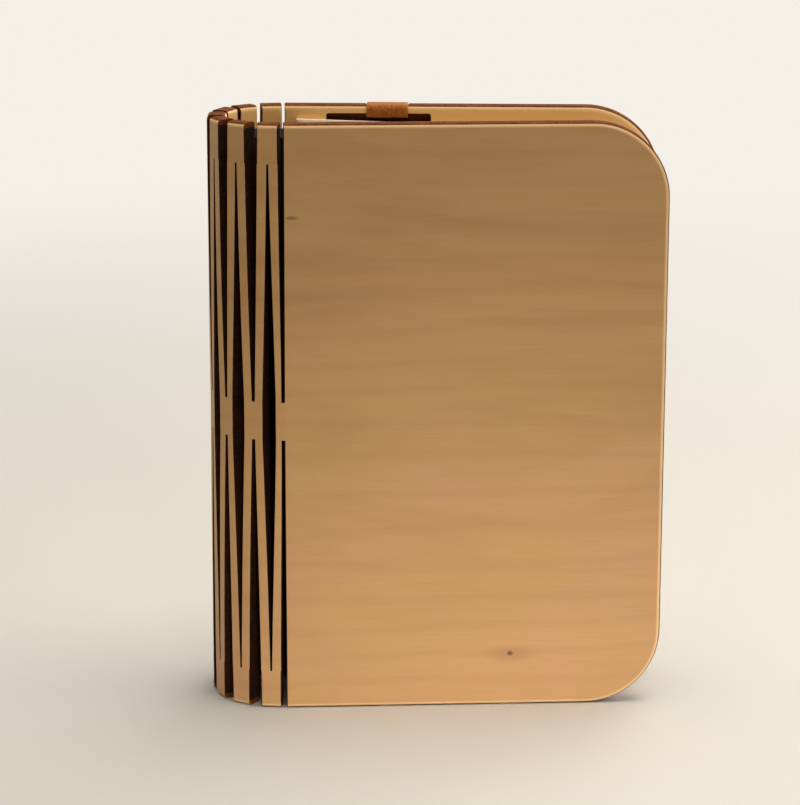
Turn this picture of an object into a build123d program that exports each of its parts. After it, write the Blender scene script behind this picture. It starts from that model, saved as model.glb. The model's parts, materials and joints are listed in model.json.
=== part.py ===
from build123d import *

import math
import os

# Folding book lamp: two plywood covers joined by a spine of laser-cut slats, a stack of paper
# pleats between the covers and a narrow light core behind the spine.
# The lamp stands closed on its bottom edge. +Z is up, +X runs from the spine to the fore-edge,
# and the front cover is on -Y. The origin is at the bottom centre of the whole lamp.
# Lengths are in millimetres and angles in degrees.

# Covers
cover_height = 122.0
cover_width = 77.4
sheet_thickness = 4.0
fore_corner_radius = 15.6
edge_round = 0.6
cover_tilt = 2.2  # each cover leans in towards the other at the fore-edge

# Spine: seven slats, cut out of the same sheet by slits that are open at top and bottom
slat_width = 4.2
slit_width = 1.8
cover_slit_width = 0.8
kerf_at_bridge = 1.0
slat_slot_width = 1.8  # widest place of the long slot inside each slat
slot_tip_width = 0.4
slot_tip_margin = 8.0
bridge_height = 7.9
bridge_lift = 0.3  # the bridges lie a little above half height
bridge_gap_share = 0.1  # running gap in a bridge's middle, as a share of the sheet's thickness
bridge_nose_flat = 0.4  # left between the two round corners of a bridge's nose
bridge_shoulder = 0.05  # straight part of a bridge behind its nose
cover_bend = 9.8  # bend at rest between a cover and the slat beside it
outer_bend = 26.2
middle_bend = 29.8

# Paper pleats and the boards that hold their ends on the covers
paper_core_gap = 0.7
paper_margin = 2.5
paper_inset = 2.8
board_thickness = 1.0
pleat_gap = 0.3

# Light core
core_depth = 12.8
core_rear_width = 5.2
core_width = 11.0
core_taper = 3.5
core_dome = 0.8  # how far the rounded front stands out from the straight sides
core_margin = 4.0
core_wall = 1.0
cap_thickness = 1.6
cap_plug = 1.5
cap_round = 0.3
fit_gap = 0.1
tape_thickness = 0.5
tape_width = 4.0
tape_margin = 20.0
rim_from_front = 1.7
lip_length = 0.5
lip_thickness = 0.7

# Circuit board and what it carries
board_sheet = 1.0
board_end_gap = 2.0
led_count = 10
led_end_margin = 4.75
led_size = (0.7, 2.8, 3.5)
ledge_width = 0.9
ledge_end = 6.0
cell_thickness = 4.0
cell_side_gap = 0.5
cell_round = 0.8
cell_lift = 18.0
cell_from_board = 1.2
lead_diameter = 0.8
lead_spacing = 3.0
lead_bend = 1.6
lead_run = 1.4
lead_chip_gap = 0.1
socket_size = (2.6, 7.5, 5.4)
socket_wall = 0.35
socket_floor = 0.7
socket_tongue = (0.5, 5.0)
socket_tongue_setback = 1.0
chip_size = (1.5, 5.0, 6.0)
chip_below_top = 11.6
capacitor_size = (0.9, 1.2, 2.0)
capacitor_spacing = 3.0
capacitor_gap = 0.5
sensor_size = (1.1, 2.9, 1.3)
sensor_height = 17.5

# Screws of the end caps
screw_radius = 0.75
screw_length = 6.0
screw_head_radius = 1.4
screw_head_height = 0.8
screw_clearance = 0.05
boss_radius = 1.5
boss_from_rear = 2.0
boss_height = 7.0

# Magnets in the covers
cover_magnet_radius = 4.0
cover_magnet_height = 2.0
cover_magnet_from_edge = 7.5
cover_magnet_spacing = 56.0
switch_magnet_radius = 2.0
switch_magnet_from_spine = 6.0
pocket_clearance = 0.05

# Leather strap, threaded through a slot near the back cover's top edge
strap_width = 8.6
strap_thickness = 0.5
strap_clearance = 0.05
strap_layer_gap = 0.15
strap_from_spine = 21.1
strap_loop_drop = 32.0
strap_end_drop = 15.0
strap_end_gap = 0.4
strap_bend = 0.9
strap_fold_flat = 0.02  # between the two bends at the bottom of the loop
strap_slot_from_spine = 19.35
strap_slot_length = 21.5
strap_slot_width = 2.0
strap_slot_drop = 1.65
strap_slot_lift = 0.2  # the strap runs above the slot's middle
strap_screw_drop = 10.5
strap_screw_radius = 0.75
strap_screw_depth = 2.6
strap_screw_head_radius = 2.1
strap_screw_head_height = 0.8
strap_head_round = 0.4


# ---------------------------------------------------------------- where the spine bends
def walk(point, lean, length):
    """Go along the sheet from a point towards the middle of the spine."""
    turn = math.radians(lean)
    return (point[0] - length * math.cos(turn), point[1] + length * math.sin(turn))


centre_bend = 90 + cover_tilt - cover_bend - outer_bend - middle_bend
half_slit = slit_width / 2
bridge_gap = bridge_gap_share * sheet_thickness
bridge_round = (sheet_thickness - bridge_nose_flat) / 2

# The front half of the spine, from the cover's edge to the centre slat
front_leans = []
front_centres = []
fold_axes = [walk((0, 0), -cover_tilt, cover_slit_width / 2)]
lean = -cover_tilt
slit_before = cover_slit_width / 2
for bend in (cover_bend, outer_bend, middle_bend):
    lean += bend
    front_leans.append(lean)
    front_centres.append(walk(fold_axes[-1], lean, slit_before + slat_width / 2))
    fold_axes.append(walk(fold_axes[-1], lean, slit_before + slat_width + half_slit))
    slit_before = half_slit
spine_middle = walk(fold_axes[-1], 90, half_slit + slat_width / 2)

# The row frame: the origin is under the middle of the lamp's box
tilt = math.radians(cover_tilt)
cover_edge_offset = spine_middle[1]
strap_inner_layer = sheet_thickness / 2 + strap_clearance + strap_thickness / 2
strap_outer_layer = strap_inner_layer + strap_thickness + strap_layer_gap
strap_outside = strap_outer_layer + strap_thickness / 2
rear_proud = (cover_edge_offset - strap_from_spine * math.sin(tilt)
              + (strap_outside + strap_screw_head_height) * math.cos(tilt))
front_proud = cover_edge_offset + sheet_thickness / 2 * math.cos(tilt)
fore_end = cover_width * math.cos(tilt) + sheet_thickness / 2 * math.sin(tilt)
spine_end = spine_middle[0] - sheet_thickness / 2
edge_x = -(fore_end + spine_end) / 2
middle_y = (front_proud - rear_proud) / 2


def placed(point):
    """Move a point of the spine's own drawing into the row frame."""
    return (point[0] + edge_x, point[1] - cover_edge_offset + middle_y)


middle_plane = Plane(origin=(0, middle_y, 0), z_dir=(0, 1, 0))


def sheet_plane(point, lean):
    """Middle of the sheet at a place: X towards the fore-edge, Y up, Z out of the book."""
    turn = math.radians(lean)
    x, y = placed(point)
    return Plane(origin=(x, y, 0), x_dir=(math.cos(turn), -math.sin(turn), 0),
                 z_dir=(-math.sin(turn), -math.cos(turn), 0))


def flat_plane(upright, height):
    """Level plane at a height, with the same X as an upright sheet plane."""
    return Plane(origin=(upright.origin.X, upright.origin.Y, height),
                 x_dir=tuple(upright.x_dir), z_dir=(0, 0, 1))


cover_plane = sheet_plane((0, 0), -cover_tilt)
bridge_bottom = (cover_height - bridge_height) / 2 + bridge_lift
bridge_top = bridge_bottom + bridge_height


# ---------------------------------------------------------------- slats
def make_slat(point, lean, spine_reach, fore_reach, fore_edge):
    """One slat. The reaches run from its middle to the fold on each side."""
    plane = sheet_plane(point, lean)
    half = slat_width / 2
    spine_edge = spine_reach - kerf_at_bridge / 2
    slot_half = slat_slot_width / 2
    tip_half = slot_tip_width / 2
    with BuildPart() as slat:
        with BuildSketch(plane):
            with BuildLine():
                Polyline((-half, 0), (half, 0), (fore_edge, bridge_bottom), (fore_edge, bridge_top),
                         (half, cover_height), (-half, cover_height), (-spine_edge, bridge_top),
                         (-spine_edge, bridge_bottom), close=True)
            make_face()
        extrude(amount=sheet_thickness / 2, both=True)
        faces = slat.faces().sort_by(SortBy.AREA)[-2:]
        fillet(faces.edges(), radius=edge_round)
        with BuildSketch(plane):
            with BuildLine():
                Polyline((-tip_half, slot_tip_margin), (tip_half, slot_tip_margin),
                         (slot_half, bridge_bottom), (slot_half, bridge_top),
                         (tip_half, cover_height - slot_tip_margin),
                         (-tip_half, cover_height - slot_tip_margin),
                         (-slot_half, bridge_top), (-slot_half, bridge_bottom), close=True)
            make_face()
        extrude(amount=sheet_thickness, both=True, mode=Mode.SUBTRACT)
        for side, reach in ((-1, spine_reach), (1, fore_reach)):
            depth = reach - bridge_gap / 2 - slot_half
            with BuildSketch(flat_plane(plane, bridge_bottom)) as bridge:
                with Locations((side * (slot_half + depth / 2), 0)):
                    Rectangle(depth, sheet_thickness)
                nose = bridge.vertices().sort_by(Axis.X, reverse=side > 0)[:2]
                fillet(nose, radius=min(bridge_round, depth - bridge_shoulder))
            extrude(amount=bridge_height)
    return slat.part


half_pitch = (slat_width + slit_width) / 2
cover_reach = (slat_width + cover_slit_width) / 2
slats = {"centre_slat": make_slat(spine_middle, 90, half_pitch, half_pitch,
                                  half_pitch - kerf_at_bridge / 2)}
for number in (1, 2, 3):
    point, lean = front_centres[number - 1], front_leans[number - 1]
    fore_reach = cover_reach if number == 1 else half_pitch
    fore_edge = slat_width / 2 if number == 1 else half_pitch - kerf_at_bridge / 2
    slat = make_slat(point, lean, half_pitch, fore_reach, fore_edge)
    slats[f"front_slat_{number}"] = slat
    slats[f"back_slat_{number}"] = mirror(slat, about=middle_plane)


# ---------------------------------------------------------------- covers
def make_cover():
    """The front cover with its bridge nose and the pockets for its two magnets."""
    with BuildPart() as cover:
        with BuildSketch(cover_plane) as outline:
            with Locations((cover_width / 2, cover_height / 2)):
                Rectangle(cover_width, cover_height)
            fillet(outline.vertices().group_by(Axis.X)[-1], radius=fore_corner_radius)
        extrude(amount=sheet_thickness / 2, both=True)
        faces = cover.faces().sort_by(SortBy.AREA)[-2:]
        fillet(faces.edges(), radius=edge_round)
        nose_reach = cover_slit_width / 2 - bridge_gap / 2
        with BuildSketch(flat_plane(cover_plane, bridge_bottom)) as bridge:
            with Locations((-nose_reach, 0)):
                Rectangle(2 * bridge_round, sheet_thickness, align=(Align.MIN, Align.CENTER))
            fillet(bridge.vertices().group_by(Axis.X)[0], radius=bridge_round)
        extrude(amount=bridge_height)
        with BuildSketch(cover_plane.offset(-sheet_thickness / 2)):
            with Locations(*magnet_places):
                Circle(cover_magnet_radius + pocket_clearance)
        extrude(amount=cover_magnet_height, mode=Mode.SUBTRACT)
    return cover.part


magnet_x = cover_width - cover_magnet_from_edge
magnet_places = [(magnet_x, (cover_height + side * cover_magnet_spacing) / 2) for side in (-1, 1)]
switch_place = (switch_magnet_from_spine, sensor_height)

with BuildPart() as front_cover:
    add(make_cover())
    with BuildSketch(cover_plane.offset(-sheet_thickness / 2)):
        with Locations(switch_place):
            Circle(switch_magnet_radius + pocket_clearance)
    extrude(amount=cover_magnet_height, mode=Mode.SUBTRACT)

# The back cover is drawn as a front cover and mirrored, with its strap on what becomes the back
slot_height = cover_height - strap_slot_drop - strap_slot_width / 2
screw_place = (strap_from_spine, cover_height - strap_screw_drop)
with BuildPart() as back_cover_drawing:
    add(make_cover())
    with BuildSketch(cover_plane):
        with Locations((strap_slot_from_spine, slot_height)):
            Rectangle(strap_slot_length, strap_slot_width)
    extrude(amount=sheet_thickness, both=True, mode=Mode.SUBTRACT)
    with BuildSketch(cover_plane.offset(sheet_thickness / 2 - strap_screw_depth)):
        with Locations(screw_place):
            Circle(strap_screw_radius + screw_clearance)
    extrude(amount=strap_screw_depth, mode=Mode.SUBTRACT)

with BuildPart() as cover_magnets:
    with BuildSketch(cover_plane.offset(-sheet_thickness / 2)):
        with Locations(*magnet_places):
            Circle(cover_magnet_radius)
    extrude(amount=cover_magnet_height)

with BuildPart() as switch_magnet:
    with BuildSketch(cover_plane.offset(-sheet_thickness / 2)):
        with Locations(switch_place):
            Circle(switch_magnet_radius)
    extrude(amount=cover_magnet_height)


# ---------------------------------------------------------------- paper
core_reach = spine_middle[0] + sheet_thickness / 2 + tape_thickness + core_depth
paper_start = core_reach + paper_core_gap
paper_height = cover_height - 2 * paper_inset
paper_end = cover_width - paper_margin
paper_corner = fore_corner_radius - paper_inset

with BuildPart() as end_board:
    with BuildSketch(cover_plane.offset(-sheet_thickness / 2)) as board_outline:
        with Locations(((paper_start + paper_end) / 2, cover_height / 2)):
            Rectangle(paper_end - paper_start, paper_height)
        fillet(board_outline.vertices().group_by(Axis.X)[-1], radius=paper_corner)
    extrude(amount=-board_thickness)


def stack_edge(x, share):
    """How far from the middle plane a share of the paper stack lies, at x from the covers' edge."""
    board_face = (cover_edge_offset - x * math.tan(tilt)
                  - (sheet_thickness / 2 + board_thickness) / math.cos(tilt))
    return share * (board_face - pleat_gap / 2)


def make_pleats(inner_share, outer_share):
    """Block of pleats on the front side, a wedge that narrows to the fore-edge."""
    corners = []
    for x, share, gap in ((paper_start, inner_share, pleat_gap),
                          (paper_end, inner_share, pleat_gap),
                          (paper_end, outer_share, -pleat_gap),
                          (paper_start, outer_share, -pleat_gap)):
        corners.append((x + edge_x, middle_y - stack_edge(x, share) - gap / 2))
    with BuildPart() as pleats:
        with BuildSketch(Plane.XY.offset(paper_inset)):
            with BuildLine():
                Polyline(*corners, close=True)
            make_face()
        extrude(amount=paper_height)
        fore_edges = pleats.edges().filter_by(Axis.Y).group_by(Axis.X)[-1]
        fillet(fore_edges, radius=paper_corner)
    return pleats.part


# Each slat carries half of the pleats that open at the fold on either side of it
carried = {3: (middle_bend + centre_bend) / 2, 2: (outer_bend + middle_bend) / 2,
           1: outer_bend / 2 + cover_bend}
centre_carried = centre_bend / 2
total_turn = centre_carried + sum(carried.values())
paper = {"centre_pleats": make_pleats(-centre_carried / total_turn, centre_carried / total_turn)}
share = centre_carried / total_turn
for number in (3, 2, 1):
    next_share = share + carried[number] / total_turn
    pleats = make_pleats(share, next_share)
    paper[f"front_pleats_{number}"] = pleats
    paper[f"back_pleats_{number}"] = mirror(pleats, about=middle_plane)
    share = next_share


# ---------------------------------------------------------------- light core
tape_x = edge_x + spine_middle[0] + sheet_thickness / 2
core_rear = tape_x + tape_thickness
core_front = core_rear + core_depth
rim_x = core_front - rim_from_front
body_bottom = core_margin + cap_thickness
body_height = cover_height - 2 * core_margin - 2 * cap_thickness
body_top = body_bottom + body_height


def core_outline():
    """Outer shape of the core from above: narrow at the rear, straight sides, domed front."""
    shoulder = core_rear + core_taper
    side_end = core_front - core_dome
    half = core_width / 2
    with BuildLine() as outline:
        Polyline((side_end, middle_y - half), (shoulder, middle_y - half),
                 (core_rear, middle_y - core_rear_width / 2),
                 (core_rear, middle_y + core_rear_width / 2),
                 (shoulder, middle_y + half), (side_end, middle_y + half))
        ThreePointArc((side_end, middle_y + half), (core_front, middle_y), (side_end, middle_y - half))
    make_face(outline.edges())


def half_space(front):
    """Keep only what lies in front of the rim, or only what lies behind it."""
    reach = 2 * (core_depth + core_width)  # past the whole outline
    with Locations((rim_x, middle_y)):
        Rectangle(reach, reach, align=(Align.MIN if front else Align.MAX, Align.CENTER),
                  mode=Mode.INTERSECT)


boss_x = core_rear + boss_from_rear
board_rear = rim_x - lip_length - fit_gap - board_sheet
board_bottom = body_bottom + board_end_gap
board_top = body_top - board_end_gap
cavity_half = core_width / 2 - core_wall

with BuildPart() as core_housing:
    with BuildSketch(Plane.XY.offset(body_bottom)):
        core_outline()
        offset(amount=-core_wall, kind=Kind.INTERSECTION, mode=Mode.SUBTRACT)
        half_space(front=False)
    extrude(amount=body_height)
    # Ledges that the circuit board rests on
    with BuildSketch(Plane.XY.offset(board_bottom)):
        with Locations(*[(board_rear - ledge_width / 2,
                          middle_y + side * (cavity_half - ledge_width / 2)) for side in (-1, 1)]):
            Rectangle(ledge_width, ledge_width)
    extrude(amount=board_top - board_bottom - ledge_end)
    # Screw bosses on the rear wall
    for start in (body_bottom + cap_plug + fit_gap, body_top - cap_plug - fit_gap - boss_height):
        with BuildSketch(Plane.XY.offset(start)):
            with Locations((boss_x, middle_y)):
                Circle(boss_radius)
        extrude(amount=boss_height)
        with BuildSketch(Plane.XY.offset(start)):
            with Locations((boss_x, middle_y)):
                Circle(screw_radius + screw_clearance)
        extrude(amount=boss_height, mode=Mode.SUBTRACT)

with BuildPart() as light_diffuser:
    with BuildSketch(Plane.XY.offset(body_bottom)):
        core_outline()
        offset(amount=-core_wall, kind=Kind.INTERSECTION, mode=Mode.SUBTRACT)
        half_space(front=True)
    extrude(amount=body_height)
    # Lips that reach into the housing and press on the circuit board
    with BuildSketch(Plane.XY.offset(board_bottom)):
        with Locations(*[(rim_x, middle_y + side * (cavity_half - fit_gap - lip_thickness / 2))
                         for side in (-1, 1)]):
            Rectangle(2 * lip_length, lip_thickness)
    extrude(amount=board_top - board_bottom)
    with BuildSketch(Plane.XY.offset(board_bottom)):
        with Locations(*[(rim_x, middle_y + side * (cavity_half - lip_thickness / 2))
                         for side in (-1, 1)]):
            Rectangle(2 * lip_length, lip_thickness)
        half_space(front=True)
    extrude(amount=board_top - board_bottom)


# The USB socket's mouth is flush with the top end cap
socket_x = board_rear - socket_size[0] / 2
socket_bottom = body_top + cap_thickness - socket_size[2]


def make_cap(top):
    """An end cap: a plate that closes the core, a plug inside it and a hole for its screw."""
    plate_bottom = body_top if top else core_margin
    plug_bottom = body_top - cap_plug if top else body_bottom
    head_bottom = plate_bottom + cap_thickness - screw_head_height if top else plate_bottom
    plug_depth = board_rear - core_rear - core_wall - 2 * fit_gap
    with BuildPart() as cap:
        with BuildSketch(Plane.XY.offset(plate_bottom)):
            core_outline()
        extrude(amount=cap_thickness)
        outer_edge = cap.faces().sort_by(Axis.Z)[-1 if top else 0].edges()
        fillet(outer_edge, radius=cap_round)
        with BuildSketch(Plane.XY.offset(plug_bottom)):
            core_outline()
            offset(amount=-core_wall - fit_gap, kind=Kind.INTERSECTION, mode=Mode.REPLACE)
            with Locations((core_rear, middle_y)):
                Rectangle(core_wall + fit_gap + plug_depth, core_width,
                          align=(Align.MIN, Align.CENTER), mode=Mode.INTERSECT)
        extrude(amount=cap_plug)
        with BuildSketch(Plane.XY.offset(min(plug_bottom, plate_bottom))):
            with Locations((boss_x, middle_y)):
                Circle(screw_radius + screw_clearance)
        extrude(amount=cap_thickness + cap_plug, mode=Mode.SUBTRACT)
        with BuildSketch(Plane.XY.offset(head_bottom)):
            with Locations((boss_x, middle_y)):
                Circle(screw_head_radius + screw_clearance)
        extrude(amount=screw_head_height, mode=Mode.SUBTRACT)
        if top:
            with BuildSketch(Plane.XY.offset(plug_bottom)):
                with Locations((socket_x, middle_y)):
                    Rectangle(socket_size[0] + 2 * fit_gap, socket_size[1] + 2 * fit_gap)
            extrude(amount=cap_thickness + cap_plug, mode=Mode.SUBTRACT)
    return cap.part


with BuildPart() as end_cap_screws:
    for head_bottom, direction in ((core_margin, 1),
                                   (body_top + cap_thickness - screw_head_height, -1)):
        with BuildSketch(Plane.XY.offset(head_bottom)):
            with Locations((boss_x, middle_y)):
                Circle(screw_head_radius)
        extrude(amount=screw_head_height)
        shank_start = head_bottom + (screw_head_height if direction > 0 else 0)
        with BuildSketch(Plane.XY.offset(shank_start)):
            with Locations((boss_x, middle_y)):
                Circle(screw_radius)
        extrude(amount=direction * screw_length)

with BuildPart() as core_tape:
    with BuildSketch(Plane.XY.offset(tape_margin)):
        with Locations((tape_x, middle_y)):
            Rectangle(tape_thickness, tape_width, align=(Align.MIN, Align.CENTER))
    extrude(amount=cover_height - 2 * tape_margin)


# ---------------------------------------------------------------- electronics
def upright_block(size, x, y, bottom):
    """Box that is size long in X, Y and Z, with its middle at x, y and its foot at bottom."""
    with BuildSketch(Plane.XY.offset(bottom)) as base:
        with Locations((x, y)):
            Rectangle(size[0], size[1])
    extrude(base.sketch, amount=size[2])


with BuildPart() as circuit_board:
    board_width = 2 * (cavity_half - fit_gap)
    upright_block((board_sheet, board_width, board_top - board_bottom),
                  board_rear + board_sheet / 2, middle_y, board_bottom)

with BuildPart() as led_row:
    first_led = board_bottom + led_end_margin
    last_led = board_top - led_end_margin - led_size[2]
    led_pitch = (last_led - first_led) / (led_count - 1)
    for number in range(led_count):
        upright_block(led_size, board_rear + board_sheet + led_size[0] / 2, middle_y,
                      first_led + number * led_pitch)

# The cell fills the room between the magnet switch and its own leads under the charger chip
chip_middle = body_top - chip_below_top
lead_x = board_rear - cell_from_board - cell_thickness / 2
lead_top = chip_middle - chip_size[2] / 2 - lead_chip_gap - lead_diameter / 2
cell_top = lead_top - lead_bend - lead_run
cell_bottom = core_margin + cell_lift
cell_width = 2 * (cavity_half - cell_side_gap)
with BuildPart() as battery_cell:
    upright_block((cell_thickness, cell_width, cell_top - cell_bottom), lead_x, middle_y, cell_bottom)
    fillet(battery_cell.edges().filter_by(Axis.Z), radius=cell_round)

with BuildPart() as battery_leads:
    for side in (-1, 1):
        lead_y = middle_y + side * lead_spacing / 2
        with BuildLine() as lead_path:
            FilletPolyline((lead_x, lead_y, cell_top), (lead_x, lead_y, lead_top),
                           (board_rear, lead_y, lead_top), radius=lead_bend)
        with BuildSketch(Plane.XY.offset(cell_top)):
            with Locations((lead_x, lead_y)):
                Circle(lead_diameter / 2)
        sweep(path=lead_path.wires()[0])

with BuildPart() as board_chips:
    upright_block(chip_size, board_rear - chip_size[0] / 2, middle_y,
                  chip_middle - chip_size[2] / 2)
    for side in (-1, 1):
        upright_block(capacitor_size, board_rear - capacitor_size[0] / 2,
                      middle_y + side * capacitor_spacing / 2,
                      chip_middle + chip_size[2] / 2 + capacitor_gap)

with BuildPart() as magnet_switch:
    upright_block(sensor_size, board_rear - sensor_size[0] / 2, middle_y,
                  sensor_height - sensor_size[2] / 2)

with BuildPart() as usb_socket:
    upright_block(socket_size, socket_x, middle_y, socket_bottom)
    with BuildSketch(Plane.XY.offset(socket_bottom + socket_floor)):
        with Locations((socket_x, middle_y)):
            Rectangle(socket_size[0] - 2 * socket_wall, socket_size[1] - 2 * socket_wall)
    extrude(amount=socket_size[2], mode=Mode.SUBTRACT)
    upright_block((*socket_tongue, socket_size[2] - socket_tongue_setback), socket_x, middle_y,
                  socket_bottom)


# ---------------------------------------------------------------- strap, on the back cover's drawing
strap_plane = Plane(origin=tuple(cover_plane.from_local_coords((strap_from_spine, 0, 0))),
                    x_dir=tuple(cover_plane.z_dir), z_dir=tuple(-cover_plane.x_dir))
strap_top = cover_height + strap_clearance + strap_thickness / 2
strap_in_slot = slot_height + strap_slot_lift
strap_fold = (strap_outer_layer - strap_inner_layer - strap_fold_flat) / 2
loop_bottom = cover_height - strap_loop_drop
end_height = cover_height - strap_end_drop
with BuildPart() as strap_drawing:
    with BuildLine(strap_plane) as strap_path:
        FilletPolyline((strap_inner_layer, end_height), (strap_inner_layer, strap_in_slot),
                       (-strap_inner_layer, strap_in_slot), (-strap_inner_layer, strap_top),
                       (strap_outer_layer, strap_top), (strap_outer_layer, loop_bottom),
                       (strap_inner_layer, loop_bottom), (strap_inner_layer, end_height - strap_end_gap),
                       radius=[strap_bend] * 4 + [strap_fold] * 2)
    path = strap_path.wires()[0]
    with BuildSketch(Plane(origin=path @ 0, x_dir=tuple(cover_plane.x_dir), z_dir=path % 0)):
        Rectangle(strap_width, strap_thickness)
    sweep(path=path)
    with BuildSketch(cover_plane.offset(sheet_thickness / 2)):
        with Locations(screw_place):
            Circle(strap_screw_radius + screw_clearance)
    extrude(amount=2 * (strap_outside - sheet_thickness / 2), mode=Mode.SUBTRACT)

with BuildPart() as strap_screw_drawing:
    with BuildSketch(cover_plane.offset(sheet_thickness / 2 - strap_screw_depth)):
        with Locations(screw_place):
            Circle(strap_screw_radius)
    extrude(amount=strap_screw_depth + strap_outside - sheet_thickness / 2)
    with BuildSketch(cover_plane.offset(strap_outside)):
        with Locations(screw_place):
            Circle(strap_screw_head_radius)
    extrude(amount=strap_screw_head_height)
    outward = Axis(cover_plane.origin, cover_plane.z_dir)
    fillet(strap_screw_drawing.faces().sort_by(outward)[-1].edges(), radius=strap_head_round)


# ---------------------------------------------------------------- write every piece
pieces = {
    "front_cover": front_cover.part,
    "back_cover": mirror(back_cover_drawing.part, about=middle_plane),
    **slats,
    "front_end_board": end_board.part,
    "back_end_board": mirror(end_board.part, about=middle_plane),
    **paper,
    "core_tape": core_tape.part,
    "core_housing": core_housing.part,
    "light_diffuser": light_diffuser.part,
    "top_end_cap": make_cap(top=True),
    "bottom_end_cap": make_cap(top=False),
    "end_cap_screws": end_cap_screws.part,
    "circuit_board": circuit_board.part,
    "led_row": led_row.part,
    "board_chips": board_chips.part,
    "magnet_switch": magnet_switch.part,
    "usb_socket": usb_socket.part,
    "battery_cell": battery_cell.part,
    "battery_leads": battery_leads.part,
    "front_cover_magnets": cover_magnets.part,
    "back_cover_magnets": mirror(cover_magnets.part, about=middle_plane),
    "switch_magnet": switch_magnet.part,
    "leather_strap": mirror(strap_drawing.part, about=middle_plane),
    "strap_screw": mirror(strap_screw_drawing.part, about=middle_plane),
}

os.makedirs("parts", exist_ok=True)
for name, piece in pieces.items():
    piece.label = name
    export_step(piece, f"parts/{name}.step")
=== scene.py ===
"""Folding book lamp: plywood covers with a living hinge, paper pleats and a leather strap.

Lengths are in metres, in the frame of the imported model. +Z is up, the spine is at -X and the front
cover is on -Y. The wood is drawn flat, as it was cut: X along the sheet from the back cover's
fore-edge to the front cover's, with 0 in the middle of the spine, Y up it and Z out through it.
"""

import json
import math
from functools import partial

import bmesh
import bpy
from bpy.props import FloatProperty, FloatVectorProperty, IntProperty, PointerProperty
from mathutils import Matrix, Vector


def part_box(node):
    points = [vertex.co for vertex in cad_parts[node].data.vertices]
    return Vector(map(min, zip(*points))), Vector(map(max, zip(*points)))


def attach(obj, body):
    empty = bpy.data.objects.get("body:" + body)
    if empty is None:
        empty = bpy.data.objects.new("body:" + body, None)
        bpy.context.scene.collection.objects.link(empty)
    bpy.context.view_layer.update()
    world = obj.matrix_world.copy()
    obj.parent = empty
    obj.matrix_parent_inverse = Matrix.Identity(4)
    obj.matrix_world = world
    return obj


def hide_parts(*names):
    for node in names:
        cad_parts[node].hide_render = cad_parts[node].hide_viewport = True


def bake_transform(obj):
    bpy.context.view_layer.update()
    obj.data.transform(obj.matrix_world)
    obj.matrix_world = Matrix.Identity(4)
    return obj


bl_info = {
    "name": "Folding Book Lamp",
    "version": (1, 0, 0),
    "blender": (4, 5, 0),
    "location": "3D View > Sidebar > Book Lamp",
    "description": "Makes the visible pieces of a wooden folding book lamp around its packed frame",
    "category": "Add Mesh",
}

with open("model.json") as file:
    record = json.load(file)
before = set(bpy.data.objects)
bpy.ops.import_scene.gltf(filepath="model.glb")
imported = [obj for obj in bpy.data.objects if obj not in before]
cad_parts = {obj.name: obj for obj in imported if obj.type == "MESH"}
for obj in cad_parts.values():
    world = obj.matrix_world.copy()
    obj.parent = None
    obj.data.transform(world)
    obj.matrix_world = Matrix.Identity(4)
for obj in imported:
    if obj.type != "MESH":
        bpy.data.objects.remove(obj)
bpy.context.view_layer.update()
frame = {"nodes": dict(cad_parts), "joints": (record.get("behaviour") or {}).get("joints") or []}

MM = 0.001
FAR = 50.0  # half the length of a blend that should stay half way all along a piece
STEEP = 0.6  # a face whose normal has less than this across the sheet is a cut edge
MERGE = 1e-6  # corners nearer than this, in metres, are one
NOSE_BEND = 1.5  # how many times the cover's lean its nose bends back
SLOT_CORNER = 0.5 * MM  # corner radius of the slot in the back cover
NOTCH_PLAY = 0.15 * MM  # between the strap's edge and its notch
ARM_SETTLE = 0.065 * MM  # how far an arm beside a cover settles half way through its turn
END_AIR = 0.05 * MM  # between an end board and the last pleat
BAND_NIP = 0.16 * MM  # bevel along the strap's edges
FLAP_HALF = 0.45  # half the flap's thickness, as a share of the strap's thickness
BELOW, ABOVE = 6, 7  # the two colours of a Mix node, whose other types use the same names
GROUPS = ("inner", "middle", "outer", "cover")  # the folds of each half, and their pleats

# The panels of the wooden sheet from the back cover to the front one, and the folds between them
PANELS = ("back_cover", "back_slat_1", "back_slat_2", "back_slat_3", "spine",
          "front_slat_3", "front_slat_2", "front_slat_1", "front_cover")
FOLDS = ("back_cover_fold", "back_outer_fold", "back_middle_fold", "back_inner_fold",
         "front_inner_fold", "front_middle_fold", "front_outer_fold", "front_cover_fold")
SPINE = 4
JOINTS = {joint["name"]: joint for joint in frame["joints"]}
PLACES = [Vector(JOINTS[name]["pos_m"]) for name in FOLDS]
PLACES = [Vector((place.x, place.y, 0)) for place in PLACES]
COVER_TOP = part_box("front_cover")[1].z
MIDDLE_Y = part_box("centre_slat")[0].lerp(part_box("centre_slat")[1], 0.5).y


def colour(code):
    """Linear red, green and blue of an sRGB hex colour."""
    shares = [int(code[at:at + 2], 16) / 255 for at in (0, 2, 4)]
    return [s / 12.92 if s <= 0.04045 else ((s + 0.055) / 1.055) ** 2.4 for s in shares]


def length(name, description, millimetres):
    """A length that a user can change."""
    return FloatProperty(name=name, description=description, default=millimetres * MM,
                         unit="LENGTH", subtype="DISTANCE", precision=5)


def tint(name, description, code):
    """A colour that a user can change."""
    return FloatVectorProperty(name=name, description=description, default=colour(code),
                               subtype="COLOR", size=3, min=0, max=1)


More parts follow.
